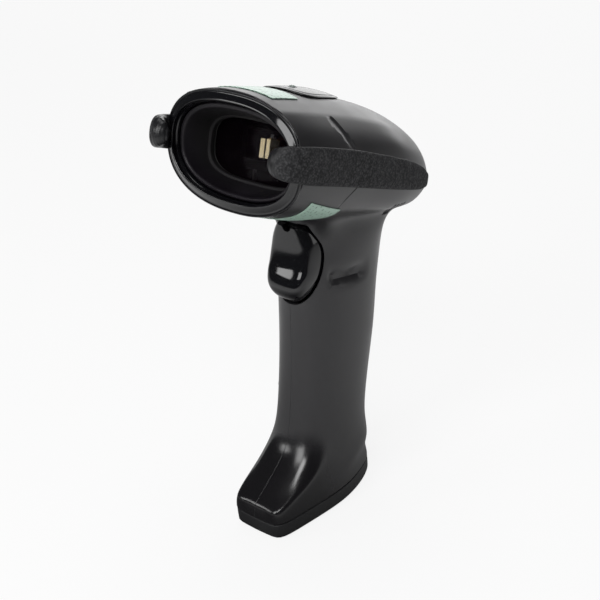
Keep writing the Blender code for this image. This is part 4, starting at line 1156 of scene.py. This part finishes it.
def make_spring():
    """The trigger's return spring as a round wire with closed ends."""
    low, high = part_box("trigger_spring")
    middle = (low + high) / 2
    wire = SPRING_WIRE * MM
    radius = (high.x - low.x) / 2 - wire
    count = SPRING_TURNS * SPRING_STEPS
    rings = []
    for i in range(count + 1):
        angle = 2 * pi * i / SPRING_STEPS
        share = i / count
        along = low.y + wire + (high.y - low.y - 2 * wire) * (share * share * (3 - 2 * share))
        centre = Vector((middle.x + radius * cos(angle), along, middle.z + radius * sin(angle)))
        out = Vector((cos(angle), 0, sin(angle)))
        rings.append([centre + (out * cos(a) + Vector((0, 1, 0)) * sin(a)) * wire for a in turns(10)])
    coil = loft_piece("trigger_spring_coil", rings, "steel", "trigger_spring")
    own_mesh(coil)


# ---- studio

FLOOR_TONE = 0.12
FLOOR_GLOW = 0.85  # lifts the floor to a pale tone, for the camera only
FLOOR_SHED = 0.95  # the floor's tone in what it sheds on the object
PAINTED_SHADOW_PLACE = (-0.03, -0.05, 0.0)  # round here the floor sheds little: a painted contact shadow
PAINTED_SHADOW_RADII = (0.03, 0.17)
ROOM_LIGHT = 0.07  # what the surroundings shed on the object
LIGHT_TARGET = (0.0, 0.01, 0.09)


def make_floor():
    bm = bmesh.new()
    bmesh.ops.create_grid(bm, x_segments=1, y_segments=1, size=3.0)
    floor = add_object("floor", mesh_from(bm, "floor"))
    floor.location.z = -0.0002
    s = Shader("floor_pale")
    seen = s.add("LightPath").outputs["Is Camera Ray"]
    away = s.add("VectorMath", {0: s.place, 1: PAINTED_SHADOW_PLACE}, operation="DISTANCE").outputs["Value"]
    tone = rgb(FLOOR_TONE, FLOOR_TONE, FLOOR_TONE)
    # Painted shadow: the tone the floor sheds on the object is darker round the object's foot.
    shed = s.blend(s.spread(away, 0.0, 1.0, *PAINTED_SHADOW_RADII), tone, rgb(FLOOR_SHED, FLOOR_SHED, FLOOR_SHED))
    s.set(Base_Color=s.blend(seen, shed, tone), Roughness=0.9,
          Emission_Color=rgb(1, 1, 1), Emission_Strength=s.times(seen, FLOOR_GLOW))
    s.set(Specular_IOR_Level=0.0)
    floor.data.materials.append(s.material)


# Soft boxes: where each stands from the object, its width, height and brightness
SOFT_BOXES = (
    ("key_box", (0.40, -0.62, 0.80), 0.34, 0.34, 11.0),
    ("left_box", (-0.64, -0.78, 0.36), 0.26, 0.26, 6.0),
    ("front_box", (0.0, -0.81, 0.52), 0.42, 0.52, 6.5),
    ("top_box", (-0.15, 0.30, 1.10), 0.80, 0.80, 2.6),
    ("back_box", (-0.66, 1.05, 0.20), 1.60, 0.55, 2.2),
    ("side_box", (1.00, 0.62, 0.22), 0.30, 0.50, 1.5),
)


def make_studio():
    """Pale floor, dim surroundings and soft boxes."""
    make_floor()
    world = bpy.data.worlds.new("studio")
    bpy.context.scene.world = world
    world.use_nodes = True
    tree = world.node_tree
    background = tree.nodes["Background"]
    background.inputs["Color"].default_value = rgb(0.96, 0.98, 1.0)
    seen = tree.nodes.new("ShaderNodeLightPath").outputs["Is Camera Ray"]
    glow = tree.nodes.new("ShaderNodeMapRange")
    glow.inputs["To Min"].default_value = ROOM_LIGHT
    glow.inputs["To Max"].default_value = FLOOR_GLOW
    tree.links.new(seen, glow.inputs["Value"])
    tree.links.new(glow.outputs["Result"], background.inputs["Strength"])
    for name, away, width, height, radiance in SOFT_BOXES:
        light = bpy.data.lights.new(name, "AREA")
        light.shape = "RECTANGLE"
        light.size = width
        light.size_y = height
        light.energy = radiance * pi * width * height
        lamp = add_object(name, light)
        lamp.location = Vector(LIGHT_TARGET) + Vector(away)
        lamp.rotation_euler = (-Vector(away)).to_track_quat("-Z", "Y").to_euler()
    bpy.context.scene.view_settings.view_transform = "Standard"


CAMERA_PLACE = (0.3133, -0.3104, 0.3219)
CAMERA_ANGLES = (61.935, 5.4525, 41.798)
CAMERA_LENS = 79.39


def make_camera():
    camera = bpy.data.cameras.new("camera")
    camera.lens = CAMERA_LENS
    camera.sensor_width = 36.0
    obj = add_object("camera", camera)
    obj.location = CAMERA_PLACE
    obj.rotation_euler = [radians(angle) for angle in CAMERA_ANGLES]
    bpy.context.scene.camera = obj


def main():
    make_camera()
    make_studio()
    dress_frame()
    tree = make_housing()
    make_bumpers()
    make_bezel()
    make_liner()
    make_window()
    make_cover(tree)
    make_label("top_label", tree, TOP_LABEL, 1)
    make_label("underside_label", tree, UNDERSIDE_LABEL, -1)
    make_trigger()
    make_base(tree)
    make_contacts()
    make_mirror()
    make_spring()


main()
